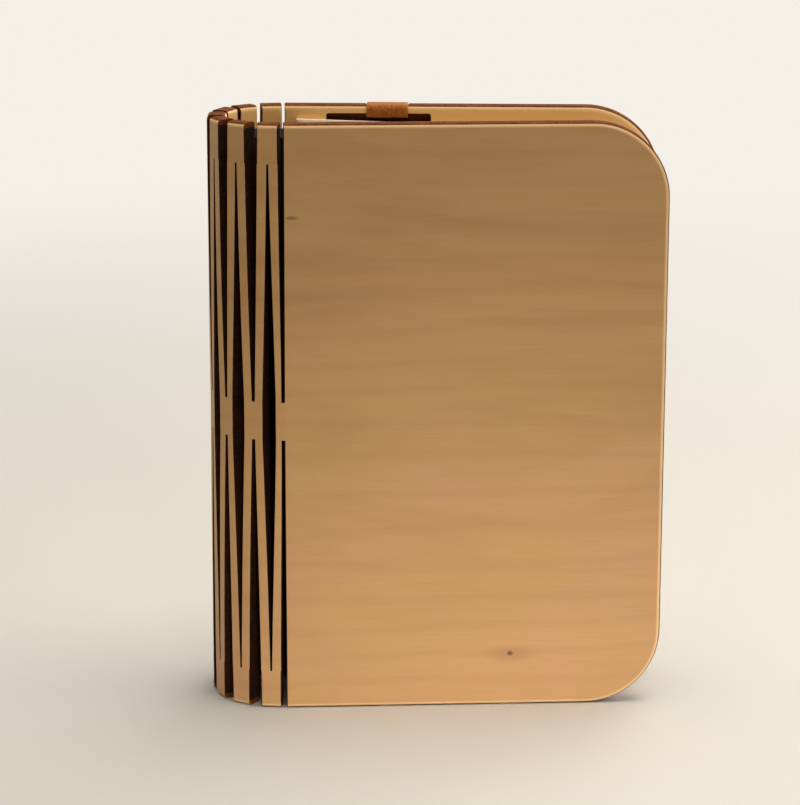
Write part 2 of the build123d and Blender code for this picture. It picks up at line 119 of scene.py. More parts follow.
# ---------------------------------------------------------------- sizes and colours
class WoodSettings(bpy.types.PropertyGroup):
    sheet: length("Sheet", "Thickness of the plywood", 4.0)
    cover_width: length("Cover Width", "Flat width of a cover", 77.4)
    corner_radius: length("Corner Radius", "Rounding of the fore-edge corners", 15.6)
    slat_pitch: length("Slat Pitch", "From one slat's middle to the next", 6.0)
    slat_half: length("Slat Half Width", "Half the width of a slat at its ends", 2.1)
    slit_at_end: length("Slit At End", "Half the width of the slits at the top and bottom", 0.9)
    slit_at_bridge: length("Slit At Bridge", "Half the width of the slits beside a bridge", 0.25)
    cover_slit: length("Cover Slit", "Half the width of the slit beside a cover at its end", 0.4)
    slot_at_tip: length("Slot At Tip", "Half the width of a slat's slot at its tips", 0.16)
    slot_at_bridge: length("Slot At Bridge", "Half the width of a slat's slot at its middle", 1.0)
    slot_margin: length("Slot Margin", "From a slot's tip to the end of the slat", 8.0)
    bridge_bottom: length("Bridge Bottom", "Height of the lower edge of the bridges", 57.35)
    bridge_top: length("Bridge Top", "Height of the upper edge of the bridges", 65.25)
    edge_round: length("Edge Rounding", "Sanded rounding of the outer edges", 1.0)
    slit_round: length("Slit Rounding", "Rounding of the edges along the slits", 0.28)
    slot_round: length("Slot Rounding", "Rounding of the edges along the slots", 0.12)
    settle: length("Settle", "How far a bridge sits inside the bend of the spine", 0.46)
    cover_lean: FloatProperty(name="Cover Lean", description="Lean of each cover towards the other",
                              default=math.radians(2.2), subtype="ANGLE", unit="ROTATION")
    face: tint("Face", "Main colour of the birch face", "cea067")
    # The inner tint is painted light: the glow bounced off the white pleats, as the birch is the
    # same on both sides
    inner: tint("Inner Face", "Golden birch on the inside of the sheet", "f8c882")
    # The sanded tint is real bare wood, brightened further as a painted highlight along the rounded
    # edges
    sanded: tint("Sanded", "Bare wood on the sanded rounding of the edges", "f0c994")
    # The figure bands are real grain, weighted more heavily towards the top so they also paint shade
    # there
    figure: tint("Figure", "Darker bands of the grain", "bb8a54")
    blush: tint("Blush", "Pinkish patches low on the covers", "d09e74")
    fibre: tint("Fibre", "Fine fibres and pores", "a97743")
    knot: tint("Knot", "Small knots", "5a3013")
    # The slits' burn tones are real laser burn, painted darker than the outer edges' to stand for
    # the shade deep in the slits
    char: tint("Char", "Darkest laser burn in the slits", "120603")
    slit_scorch_and_shade: tint("Scorch", "Lighter laser burn in the slits", "3a1a08")
    outer_char: tint("Outer Char", "Darker burn on the sanded outer edges", "40200c")
    outer_scorch: tint("Outer Scorch", "Lighter burn on the sanded outer edges", "8a4a1b")


class PaperSettings(bpy.types.PropertyGroup):
    start: length("Start", "From the covers' spine edge to the pleats", 2.52)
    end: length("End", "From the covers' spine edge to the pleats' fore-edge", 74.9)
    inset: length("Inset", "From the ends of the covers to the paper", 2.8)
    droop: length("Droop", "How far the top edge of the pleats falls towards the fore-edge", 1.7)
    panels: IntProperty(name="Panels", description="Paper panels between two neighbouring slats",
                        default=6, min=2)
    cover_panels: IntProperty(name="Panels At Cover", default=3, min=1,
                              description="Paper panels between a cover and the slat beside it")
    thickness: length("Thickness", "Thickness of the paper, as thin as its fanning out asks", 0.004)
    board: length("Board", "Thickness of the end board on a cover", 1.0)
    white: tint("Paper", "Colour of the pleats", "fbf6ea")
    card: tint("Card", "Colour of the end boards", "f5ecdb")


class StrapSettings(bpy.types.PropertyGroup):
    width: length("Width", "Width of the strap", 8.6)
    thickness: length("Thickness", "Thickness of the leather", 0.36)
    clearance: length("Clearance", "Between the leather and the wood", 0.04)
    layer_gap: length("Layer Gap", "Between two layers of the strap", 0.12)
    notch: length("Notch", "Depth of the notch that the strap lies in over the edge", 0.3)
    from_spine: length("From Spine", "From the back cover's spine edge to its middle", 21.1)
    slot_from_spine: length("Slot From Spine", "From the spine edge to the slot's middle", 19.35)
    slot_length: length("Slot Length", "Length of the slot in the back cover", 21.5)
    slot_width: length("Slot Width", "Height of the slot in the back cover", 2.0)
    slot_height: length("Slot Height", "Height of the slot's middle", 119.35)
    leather: tint("Leather", "Dyed face of the leather", "b56c25")
    leather_dark: tint("Leather Dark", "Hollows of the grain", "6f3a0f")
    leather_edge: tint("Leather Edge", "Raw cut edge and flesh side", "bd762e")
    # The tone of the leather sheet behind the slot, darker than the strap as painted shade in the
    # slot
    root: tint("Strap Root", "Oiled leather behind the slot", "975420")
    brass: tint("Brass", "Colour of the strap's screw", "c8a04f")


class CoreSettings(bpy.types.PropertyGroup):
    plastic: tint("Housing", "Moulded plastic of the core", "17100c")
    diffuser: tint("Diffuser", "Opal plastic over the lights", "efece4")
    steel: tint("Steel", "Screws and charging socket", "b9bbbe")
    laminate: tint("Circuit Board", "Solder mask of the circuit board", "e6e8e4")
    phosphor: tint("Light Chips", "Phosphor of the lights", "e3c64a")
    cell: tint("Cell", "Wrap of the battery cell", "a9adb0")


class StageSettings(bpy.types.PropertyGroup):
    floor: tint("Floor", "Colour of the floor", "dfdfde")
    sky: tint("Backdrop", "Colour behind the lamp", "f4efe7")
    key_power: FloatProperty(name="Lights", description="Power of all four lights, as a share",
                             default=1.0, min=0)


# ---------------------------------------------------------------- building nodes and meshes
def node(tree, kind, *values, named=None, **settings):
    """Add a node: values fill its inputs in order, named ones by name or number.

    A kind is a shader node's unless its own name says otherwise.
    """
    made = tree.nodes.new(kind if "Node" in kind else "ShaderNode" + kind)
    for name, value in settings.items():
        setattr(made, name, value)
    fill(made, {**dict(enumerate(values)), **(named or {})})
    return made


def fill(made, values):
    """Fill a node's inputs: nodes and sockets are linked, and anything else is set."""
    for key, value in values.items():
        if isinstance(value, bpy.types.Node):
            value = next(socket for socket in value.outputs if socket.enabled)
        if isinstance(value, bpy.types.NodeSocket):
            made.id_data.links.new(value, made.inputs[key])
        elif value is not None:
            made.inputs[key].default_value = value


def start_tree(name, inputs):
    """A Geometry Nodes tree, the function that adds its nodes, and its inputs by name."""
    tree = bpy.data.node_groups.new(name, "GeometryNodeTree")
    tree.interface.new_socket("Geometry", in_out="INPUT", socket_type="NodeSocketGeometry")
    for label, kind in inputs:
        tree.interface.new_socket(label, in_out="INPUT", socket_type="NodeSocket" + kind)
    tree.interface.new_socket("Geometry", in_out="OUTPUT", socket_type="NodeSocketGeometry")
    return tree, partial(node, tree), node(tree, "NodeGroupInput").outputs


def shape_with(name, mesh, tree, values, before=(), after=()):
    """Run a mesh through a tree, with modifiers before and after it, and keep the result."""
    piece = put(name, mesh)
    for kind, settings in before:
        add_modifier(piece, kind, settings)
    modifier = piece.modifiers.new(tree.name, "NODES")
    modifier.node_group = tree
    for item in tree.interface.items_tree:
        if item.in_out == "INPUT" and item.name in values:
            modifier[item.identifier] = values[item.name]
    for kind, settings in after:
        add_modifier(piece, kind, settings)
    apply_modifiers(piece)
    return piece


def put(name, data):
    """Link a new object with a mesh, light or camera to the scene."""
    made = bpy.data.objects.new(name, data)
    bpy.context.scene.collection.objects.link(made)
    return made


def apply_modifiers(piece):
    """Replace a piece's mesh with what its modifiers make of it."""
    piece.update_tag()
    depsgraph = bpy.context.evaluated_depsgraph_get()
    piece.data = bpy.data.meshes.new_from_object(piece.evaluated_get(depsgraph),
                                                 depsgraph=depsgraph, preserve_all_data_layers=True)
    piece.modifiers.clear()
    piece.data.name = piece.name
    if not piece.data.polygons:
        raise RuntimeError(f"{piece.name} came out empty")


def add_modifier(piece, kind, settings):
    """Add a modifier with its settings."""
    modifier = piece.modifiers.new(kind.title(), kind)
    for name, value in settings.items():
        setattr(modifier, name, value)


def mesh_from(name, form):
    """Turn a bmesh into a mesh and free it."""
    mesh = bpy.data.meshes.new(name)
    form.to_mesh(mesh)
    form.free()
    return mesh


def loft(form, rings):
    """Join rings of vertices with faces, where a ring may be a single vertex."""
    count = max(len(ring) for ring in rings)
    for here, there in zip(rings, rings[1:]):
        for at in range(count):
            after = (at + 1) % count
            corners = [here[at % len(here)], here[after % len(here)],
                       there[after % len(there)], there[at % len(there)]]
            form.faces.new(list(dict.fromkeys(corners)))


def placed(place, across, up, out):
    """Matrix that turns X, Y and Z to three directions and moves the origin to a place."""
    return Matrix.Translation(place) @ Matrix((across, up, out)).transposed().to_4x4()


def arc(across, up, radius, start, steps):
    """Points of a quarter circle about a centre, from a heading in degrees, anticlockwise."""
    turns = [math.radians(start + 90 * step / steps) for step in range(steps + 1)]
    return [(across + radius * math.cos(turn), up + radius * math.sin(turn)) for turn in turns]


def rounded_block(middle, low, high, half_length, radius, steps):
    """Corners of a rectangle with rounded corners, drawn anticlockwise."""
    corners = []
    for across, up, start in ((1, low + radius, -90), (1, high - radius, 0),
                              (-1, high - radius, 90), (-1, low + radius, 180)):
        corners += arc(middle + across * (half_length - radius), up, radius, start, steps)
    return corners


def add_board(form, corners, rounds, half, side=1):
    """Add a closed plate drawn anticlockwise, 2 * half thick, with rounded long edges.

    Each round belongs to the edge that leaves the corner in the same place of the list. Side -1
    draws the plate mirrored about X = 0.
    """
    count = len(corners)
    corners = [Vector(corner) for corner in corners]
    rings = []
    steps = (0, 22.5, 45, 67.5, 90)
    for face, angles in ((1, steps), (-1, reversed(steps))):
        for angle in angles:
            turn = math.radians(angle)
            ring = []
            for at, corner in enumerate(corners):
                before, after = corners[at - 1], corners[(at + 1) % count]
                first, second = (corner - before).normalized(), (after - corner).normalized()
                first_in, second_in = Vector((-first.y, first.x)), Vector((-second.y, second.x))
                inset = [rounds[at - 1] * (1 - math.sin(turn)), rounds[at] * (1 - math.sin(turn))]
                cross = first_in.x * second_in.y - first_in.y * second_in.x
                if abs(cross) < 1e-5:
                    move = first_in * inset[0]
                else:
                    move = Vector(((inset[0] * second_in.y - inset[1] * first_in.y) / cross,
                                   (inset[1] * first_in.x - inset[0] * second_in.x) / cross))
                widest = max(rounds[at - 1], rounds[at])
                ring.append(form.verts.new((side * (corner.x + move.x), corner.y + move.y,
                                            face * (half - widest * (1 - math.cos(turn))))))
            rings.append(ring)
    faces = [rings[0], list(reversed(rings[-1]))]
    for upper, lower in zip(rings, rings[1:]):
        for at in range(count):
            after = (at + 1) % count
            faces.append([upper[at], lower[at], lower[after], upper[after]])
    for face in faces:
        form.faces.new(face if side > 0 else list(reversed(face)))


def finish_board(name, form, rows=()):
    """Close the collapsed edges of plates, cut them at heights and return the mesh."""
    bmesh.ops.remove_doubles(form, verts=form.verts, dist=MERGE)
    for row in rows:
        bmesh.ops.bisect_plane(form, geom=form.verts[:] + form.edges[:] + form.faces[:],
                               plane_co=(0, row, 0), plane_no=(0, 1, 0), dist=1e-7)
    return mesh_from(name, form)


# ---------------------------------------------------------------- the folded sheet of wood
def unfold(wood):
    """Where the folds and panels are along the flat sheet, and each panel's heading in the book."""
    last = 3 * wood.slat_pitch + wood.slat_half + wood.cover_slit
    halves = [(step + 0.5) * wood.slat_pitch for step in range(3)] + [last]
    along = [-place for place in reversed(halves)] + halves
    centres = [(at - SPINE) * wood.slat_pitch for at in range(len(PANELS))]
    headings = [math.pi - wood.cover_lean]
    for here, there in zip(PLACES, PLACES[1:]):
        heading = math.atan2(there.y - here.y, there.x - here.x) % (2 * math.pi)
        headings.append(heading)
    headings.append(2 * math.pi + wood.cover_lean)
    return along, centres, headings


def between(value, low, high, at_low, at_high):
    """Straight-line value between two heights."""
    share = min(max((value - low) / (high - low), 0), 1)
    return at_low + share * (at_high - at_low)


def slit_half(wood, height, at_end):
    """Half the width of a slit at a height."""
    if height < wood.bridge_bottom:
        return between(height, 0, wood.bridge_bottom, at_end, wood.slit_at_bridge)
    return between(height, wood.bridge_top, COVER_TOP, wood.slit_at_bridge, at_end)


def fold_sheet_tree():
    """Bend a flat piece of the sheet about one fold, as its blend between two bodies will."""
    tree, add, given = start_tree("fold sheet", (
        ("Fold Place", "Vector"), ("Fold Along", "Float"), ("Heading", "Float"), ("Turn", "Float"),
        ("Turn Start", "Float"), ("Turn End", "Float"), ("Settle", "Float"),
        ("Face Finish", "Material"), ("Edge Finish", "Material")))
    flat = add("GeometryNodeInputPosition")
    stored = add("GeometryNodeStoreNamedAttribute", given["Geometry"],
                 named={"Name": "sheet", "Value": flat}, data_type="FLOAT_VECTOR", domain="POINT")
    upward = add("SeparateXYZ", add("GeometryNodeInputNormal")).outputs["Z"]
    upward = add("Math", upward, operation="ABSOLUTE")
    steep = add("Math", upward, STEEP, operation="LESS_THAN")
    stored = add("GeometryNodeStoreNamedAttribute", stored,
                 named={"Name": "cut_edge", "Value": steep}, data_type="BOOLEAN", domain="FACE")
    place = add("SeparateXYZ", flat)
    share = add("MapRange", place.outputs["Y"], given["Turn Start"], given["Turn End"],
                interpolation_type="SMOOTHSTEP")
    angle = add("Math", share, given["Turn"], given["Heading"], operation="MULTIPLY_ADD")
    beside = add("Math", place.outputs["X"], given["Fold Along"], operation="SUBTRACT")
    inward = add("Math", place.outputs["Z"], -1.0, operation="MULTIPLY")
    upright = add("CombineXYZ", beside, inward, place.outputs["Y"])
    turned = add("VectorRotate", upright, named={"Angle": angle}, rotation_type="Z_AXIS")
    # Twice the share, because a bridge lies half way through the turn and settles fully
    depth = add("Math", share, given["Settle"], operation="MULTIPLY")
    depth = add("Math", depth, 2.0, operation="MULTIPLY")
    middle = add("Math", given["Turn"], 0.5, given["Heading"], operation="MULTIPLY_ADD")
    settled = add("VectorRotate", add("CombineXYZ", None, depth), named={"Angle": middle},
                  rotation_type="Z_AXIS")
    bent = add("VectorMath", turned, settled, operation="ADD")
    bent = add("VectorMath", bent, given["Fold Place"], operation="ADD")
    moved = add("GeometryNodeSetPosition", stored, named={"Position": bent})
    whole = add("GeometryNodeRealizeInstances", moved)
    faced = add("GeometryNodeSetMaterial", whole, named={"Material": given["Face Finish"]})
    cut = add("GeometryNodeInputNamedAttribute", "cut_edge", data_type="BOOLEAN")
    edged = add("GeometryNodeSetMaterial", faced, cut, named={"Material": given["Edge Finish"]})
    add("NodeGroupOutput", edged)
    return tree


def bend_piece(name, mesh, panel, fold=None, turn_from=0.0, turn_to=1.0, settle=0.0,
               before=(), finishes=("birch_plywood_face", "laser_burnt_plywood_edge")):
    """Put a flat piece of a panel in its place in the book, bent about a fold if it has one, and
    hang a piece without a fold on its panel's body.
    """
    along, _, headings = unfold(bpy.context.scene.book_lamp_wood)
    near = min(panel, len(FOLDS) - 1) if fold is None else fold
    neighbour = panel if fold is None else fold + (fold == panel)
    tree = bpy.data.node_groups.get("fold sheet") or fold_sheet_tree()
    piece = shape_with(name, mesh, tree, {
        "Fold Place": PLACES[near], "Fold Along": along[near], "Heading": headings[panel],
        "Turn": headings[neighbour] - headings[panel], "Turn Start": turn_from,
        "Turn End": turn_to, "Settle": settle, "Face Finish": finish(finishes[0]),
        "Edge Finish": finish(finishes[1])}, before)
    if fold is None:
        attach(piece, PANELS[panel])
    else:
        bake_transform(piece)
    return piece


def cover_outline(wood):
    """Corners and edge rounds of the front cover with the nose that reaches over its slit."""
    along, centres, _ = unfold(wood)
    spine_edge = along[-1] + wood.cover_slit
    kerf_edge = along[-1] + wood.slit_at_bridge
    nose_end = centres[SPINE + 3] + wood.slot_at_bridge
    radius = wood.corner_radius
    centre = spine_edge + wood.cover_width - radius
    corners = [(spine_edge, 0.0), *arc(centre, radius, radius, -90, 20),
               *arc(centre, COVER_TOP - radius, radius, 0, 20), (spine_edge, COVER_TOP)]
    rounds = [wood.edge_round] * (len(corners) - 1)
    corners += [(kerf_edge, wood.bridge_top), (nose_end, wood.bridge_top),
                (nose_end, wood.bridge_bottom), (kerf_edge, wood.bridge_bottom)]
    rounds += [wood.slit_round, 0, wood.slot_round, 0, wood.slit_round]
    return corners, rounds


class BOOKLAMP_OT_covers(bpy.types.Operator):
    """Make the two covers with their bridges over the slit beside them"""
    bl_idname = "book_lamp.covers"
    bl_label = "Covers"

    def execute(self, context):
        wood, strap = context.scene.book_lamp_wood, context.scene.book_lamp_strap
        corners, rounds = cover_outline(wood)
        along, _, _ = unfold(wood)
        spine_edge = along[-1] + wood.cover_slit
        nose_slope = NOSE_BEND * math.tan(wood.cover_lean)
        for side, name in ((1, "front_cover"), (-1, "back_cover")):
            form = bmesh.new()
            add_board(form, corners, rounds, wood.sheet / 2, side)
            for vert in form.verts:
                # The nose bends back, so that it stands no prouder than the cover
                vert.co.z -= max(spine_edge - abs(vert.co.x), 0) * nose_slope
            mesh = finish_board(name + "_sheet", form)
            cuts = ()
            if side < 0:
                cutter = self.slot_cutter(wood, strap, along[0] - wood.cover_slit)
                cuts = (("BOOLEAN", {"object": cutter, "solver": "EXACT"}),)
            piece = bend_piece(name + "_sheet", mesh, PANELS.index(name), before=cuts)
            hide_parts(name)
            if side < 0:
                bpy.data.objects.remove(cutter)
            self.make_end_board(wood, context.scene.book_lamp_paper, side, name)
        return {"FINISHED"}

    def make_end_board(self, wood, paper, side, name):
        """Card on the inside of a cover, cut to the outline of the pleats."""
        spine_edge = unfold(wood)[0][-1] + wood.cover_slit
        radius = wood.corner_radius - paper.inset
        left, right = spine_edge + paper.start, spine_edge + paper.end
        low, top = paper.inset, COVER_TOP - paper.inset
        corners = [(left, low), *arc(right - radius, low + radius, radius, -90, 12),
                   *arc(right - radius, top - paper.droop - radius, radius, 0, 12), (left, top)]
        form = bmesh.new()
        add_board(form, corners, [0.1 * MM] * len(corners), paper.board / 2, side)
        for vert in form.verts:
            vert.co.z -= wood.sheet / 2 + paper.board / 2
        piece = bend_piece(name.replace("cover", "bristol_board"), finish_board(name, form),
                           PANELS.index(name), finishes=("bristol_board", "bristol_board"))
        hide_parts(name.replace("cover", "end_board"))

    def slot_cutter(self, wood, strap, spine_edge):
        """Block that cuts the strap's slot out of the flat back cover, with its ends rounded."""
        half_width = strap.slot_width / 2
        corners = rounded_block(spine_edge - strap.slot_from_spine,
                                strap.slot_height - half_width, strap.slot_height + half_width,
                                strap.slot_length / 2, SLOT_CORNER, 4)
        form = bmesh.new()
        add_board(form, corners, [0.0] * len(corners), wood.sheet)
        # The strap lies in a shallow notch where it goes over the top edge
        left, right = (spine_edge - strap.from_spine + side * (strap.width / 2 + NOTCH_PLAY)
                       for side in (-1, 1))
        floor, above = COVER_TOP - strap.notch, COVER_TOP + 1 * MM
        add_board(form, [(left, floor), (right, floor), (right, above), (left, above)],
                  [0.0] * 4, wood.sheet)
        return put("slot_cutter", finish_board("slot_cutter", form))


class BOOKLAMP_OT_slats(bpy.types.Operator):
    """Make the seven slats of the spine, and the bridges that join them"""
    bl_idname = "book_lamp.slats"
    bl_label = "Spine Slats"

    def execute(self, context):
        wood = context.scene.book_lamp_wood
        for panel in range(1, len(PANELS) - 1):
            self.make_ends(wood, panel)
            for side in (-1, 1):
                for high in (False, True):
                    self.make_arm(wood, panel, side, high)
        for fold in range(1, len(FOLDS) - 1):
            self.make_bridge(wood, fold)
        return {"FINISHED"}

    def edge(self, wood, panel, side, height):
        """How far a slat's edge is from its middle, on one side, at a height."""
        along, centres, _ = unfold(wood)
        fold = panel if side > 0 else panel - 1
        at_end = wood.cover_slit if fold in (0, len(FOLDS) - 1) else wood.slit_at_end
        return abs(along[fold] - centres[panel]) - slit_half(wood, height, at_end)

    def slat_name(self, panel):
        return "centre_slat" if panel == SPINE else PANELS[panel]

    def make_ends(self, wood, panel):
        """The ends of a slat, above and below its slot."""
        middle = unfold(wood)[1][panel]
        form = bmesh.new()
        for low, high in ((0, wood.slot_margin), (COVER_TOP - wood.slot_margin, COVER_TOP)):
            corners = [(middle + side * self.edge(wood, panel, side, height), height)
                       for side, height in ((-1, low), (1, low), (1, high), (-1, high))]
            outside = [wood.edge_round if height in (0, COVER_TOP) else 0 for height in (low, high)]
            add_board(form, corners, [outside[0], wood.slit_round, outside[1], wood.slit_round],
                      wood.sheet / 2)
        name = self.slat_name(panel)
        piece = bend_piece(name + "_ends", finish_board(name + "_ends", form), panel)
        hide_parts(name)

    def make_arm(self, wood, panel, side, high):
        """One of the four arms beside a slat's slot, twisting from the slat to its bridge."""
        middle = unfold(wood)[1][panel]
        fold = panel if side > 0 else panel - 1
        tip, bridge = wood.slot_margin, wood.bridge_bottom
        if high:
            tip, bridge = COVER_TOP - wood.slot_margin, wood.bridge_top
        corners = [(wood.slot_at_tip, tip), (self.edge(wood, panel, side, tip), tip),
                   (self.edge(wood, panel, side, bridge), bridge), (wood.slot_at_bridge, bridge)]
        rounds = [0, wood.slit_round, 0, wood.slot_round]
        if high:
            corners.reverse()
        corners = [(side * middle + across, height) for across, height in corners]
        form = bmesh.new()
        add_board(form, corners, rounds, wood.sheet / 2, side)
        rows = [tip + (bridge - tip) * step / 20 for step in range(1, 20)]
        level, way = "upper" if high else "lower", "fore" if side > 0 else "rear"
        name = f"{self.slat_name(panel)}_{level}_{way}_arm"
        # Beside a cover the bridge is part of the cover, and elsewhere it lies half way
        last = fold in (0, len(FOLDS) - 1)
        bend_piece(name, finish_board(name, form, rows), panel, fold, turn_from=tip,
                   turn_to=bridge if last else 2 * bridge - tip,
                   settle=ARM_SETTLE if last else wood.settle)

    def make_bridge(self, wood, fold):
        """The piece of sheet that joins two slats at mid-height, from slot to slot."""
        along = unfold(wood)[0]
        reach = wood.slat_pitch / 2 - wood.slot_at_bridge
        left, right = along[fold] - reach, along[fold] + reach
        corners = [(left, wood.bridge_bottom), (right, wood.bridge_bottom),
                   (right, wood.bridge_top), (left, wood.bridge_top)]
        form = bmesh.new()
        add_board(form, corners, [0, wood.slot_round, 0, wood.slot_round], wood.sheet / 2)
        name = FOLDS[fold].replace("_fold", "_bridge")
        bend_piece(name, finish_board(name, form), fold, fold, turn_from=-FAR, turn_to=FAR,
                   settle=wood.settle)


# ---------------------------------------------------------------- paper
def fold_pleats_tree():
    """Fold a flat strip of paper into one group of pleats, spread as its blend will fan it out."""
    tree, add, given = start_tree("fold pleats", (
        ("Panel Width", "Float"), ("Panels", "Float"), ("Inner Edge", "Float"),
        ("Middle Line", "Float"), ("Middle Slope", "Float"), ("Outward", "Float"),
        ("Half Band", "Float"), ("Inner Half", "Float"), ("Fold Place", "Vector"),
        ("Inner Reach", "Float"), ("Outer Reach", "Float"), ("Finish", "Material")))
    flat = add("GeometryNodeInputPosition")
    stored = add("GeometryNodeStoreNamedAttribute", given["Geometry"],
                 named={"Name": "sheet", "Value": flat}, data_type="FLOAT_VECTOR", domain="POINT")
    place = add("SeparateXYZ", flat)
    # Which panel a point is on, and how far it is from the pleats' inner edge
    counted = add("Math", place.outputs["X"], given["Panel Width"], operation="DIVIDE")
    last = add("Math", given["Panels"], 1.0, operation="SUBTRACT")
    whole = add("Math", add("Math", counted, operation="FLOOR"), last, operation="MINIMUM")
    odd = add("Math", whole, 2.0, operation="MODULO")
    share = add("Math", counted, 1.0, operation="PINGPONG")
    across = add("Math", share, given["Panel Width"], operation="MULTIPLY")
    along = add("Math", across, given["Inner Edge"], operation="ADD")
    middle = add("Math", across, given["Middle Slope"], given["Middle Line"],
                 operation="MULTIPLY_ADD")
    # How far it has gone from one body to the other, so that an opened panel stays flat
    reach = add("VectorMath", add("CombineXYZ", along, middle), given["Fold Place"],
                operation="DISTANCE").outputs["Value"]
    near = []
    for far in (reach, given["Outer Reach"]):
        part = add("Math", given["Inner Reach"], far, operation="DIVIDE")
        near.append(add("Math", 1.0, part, operation="SUBTRACT"))
    spread = add("Math", *near, operation="DIVIDE")
    inner = add("Math", whole, odd, operation="ADD")
    sense = add("Math", odd, -2.0, 1.0, operation="MULTIPLY_ADD")
    gone = add("Math", spread, sense, inner, operation="MULTIPLY_ADD")
    weight = add("Math", gone, given["Panels"], operation="DIVIDE", use_clamp=True)
    # The inverse of the blend's smooth step gives the place across the group's band
    bow = add("Math", weight, -2.0, 1.0, operation="MULTIPLY_ADD")
    bow = add("Math", bow, operation="ARCSINE")
    bow = add("Math", bow, 3.0, operation="DIVIDE")
    offset = add("Math", add("Math", bow, operation="SINE"), -2.0, operation="MULTIPLY")
    offset = add("Math", offset, given["Half Band"], operation="MULTIPLY")
    # The first and last inner folds meet the neighbouring groups
    inside = add("Math", share, 1e-4, operation="LESS_THAN")
    first = add("Math", weight, 1e-3, operation="LESS_THAN")
    final = add("Math", weight, 0.999, operation="GREATER_THAN")
    toward = add("Math", final, first, operation="SUBTRACT")
    toward = add("Math", toward, inside, operation="MULTIPLY")
    spare = add("Math", given["Inner Half"], given["Half Band"], operation="SUBTRACT")
    offset = add("Math", toward, spare, offset, operation="MULTIPLY_ADD")
    side = add("Math", offset, given["Outward"], middle, operation="MULTIPLY_ADD")
    folded = add("CombineXYZ", along, side, place.outputs["Y"])
    moved = add("GeometryNodeSetPosition", stored, named={"Position": folded})
    realised = add("GeometryNodeRealizeInstances", moved)
    papered = add("GeometryNodeSetMaterial", realised, named={"Material": given["Finish"]})
    add("NodeGroupOutput", papered)
    return tree


class BOOKLAMP_OT_pleats(bpy.types.Operator):
    """Make the accordion of paper pleats, one group for each fold of the spine"""
    bl_idname = "book_lamp.pleats"
    bl_label = "Paper Pleats"

    def execute(self, context):
        wood, paper = context.scene.book_lamp_wood, context.scene.book_lamp_paper
        tree = fold_pleats_tree()
        _, _, headings = unfold(wood)
        # Each group gets room in proportion to the turn of its fold when the book opens
        ranges = [JOINTS[f"front_{name}_fold"]["range_deg"] for name in GROUPS]
        turns = [abs(high - low) for low, high in ranges]
        shares = [sum(turns[:at]) / sum(turns) for at in range(5)]
        cover_way = Vector((math.cos(headings[-1]), math.sin(headings[-1]), 0))
        cover_edge = PLACES[-1] + cover_way * wood.cover_slit
        reach = MIDDLE_Y - cover_edge.y  # from the middle plane to the sheet's middle
        lean = math.tan(wood.cover_lean)
        board = (wood.sheet / 2 + paper.board) / math.cos(wood.cover_lean) + END_AIR
        widths = [reach - x * lean - board for x in (paper.start, paper.end)]
        panel_width = paper.end - paper.start
        for at, group in enumerate(GROUPS):
            panels = paper.cover_panels if group == "cover" else paper.panels
            middle_share = (shares[at] + shares[at + 1]) / 2
            half_share = (shares[at + 1] - shares[at]) / 2
            for side, part in ((-1, "front"), (1, "back")):
                fold = FOLDS.index(f"{part}_{group}_fold")
                inner_x = cover_edge.x + paper.start
                line = MIDDLE_Y + side * middle_share * widths[0]
                slope = side * middle_share * (widths[1] - widths[0]) / panel_width
                half_band = half_share * widths[1]
                reaches = [(Vector((inner_x + x, line + slope * x, 0)) - PLACES[fold]).length
                           for x in (0, panel_width)]
                name = f"{part}_{group}_pleats"
                mesh = self.strip(name, paper, wood, panels, panel_width)
                piece = shape_with(name, mesh, tree, {
                    "Panel Width": panel_width, "Panels": float(panels), "Inner Edge": inner_x,
                    "Middle Line": line, "Middle Slope": slope, "Outward": float(side),
                    "Half Band": half_band, "Inner Half": half_share * widths[0],
                    "Fold Place": PLACES[fold], "Inner Reach": reaches[0],
                    "Outer Reach": reaches[1], "Finish": finish("folded_white_paper")},
                    after=(("SOLIDIFY", {"thickness": paper.thickness, "offset": 0.0}),))
                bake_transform(piece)
                if at:
                    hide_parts(f"{part}_pleats_{4 - at}")
                elif side < 0:
                    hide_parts("centre_pleats")
        return {"FINISHED"}

    def strip(self, name, paper, wood, panels, panel_width):
        """Flat strip of paper: every second fold has its corners cut round, as the covers are."""
        radius = wood.corner_radius - paper.inset
        stops = [panel_width * share for share in (0, 0.06, 0.16, 0.3, 0.46, 0.62, 0.76)]
        stops += [panel_width - radius + radius * math.sin(math.radians(step)) for step in
                  (0, 15, 30, 45, 60, 70, 80, 90)]
        stops = sorted(stops)
        form = bmesh.new()
        columns = []
        for panel in range(panels):
            places = stops if panel % 2 == 0 else [panel_width - stop for stop in reversed(stops)]
            for at in places[0 if panel == 0 else 1:]:
                out = at if panel % 2 == 0 else panel_width - at
                past = max(out - (panel_width - radius), 0)
                lift = radius - math.sqrt(max(radius ** 2 - past ** 2, 0))
                top = COVER_TOP - paper.inset - paper.droop * out / panel_width - lift
                columns.append([form.verts.new((panel * panel_width + at, height, 0))
                                for height in (paper.inset + lift, top)])
        for here, there in zip(columns, columns[1:]):
            form.faces.new([here[0], there[0], there[1], here[1]])
        return mesh_from(name, form)


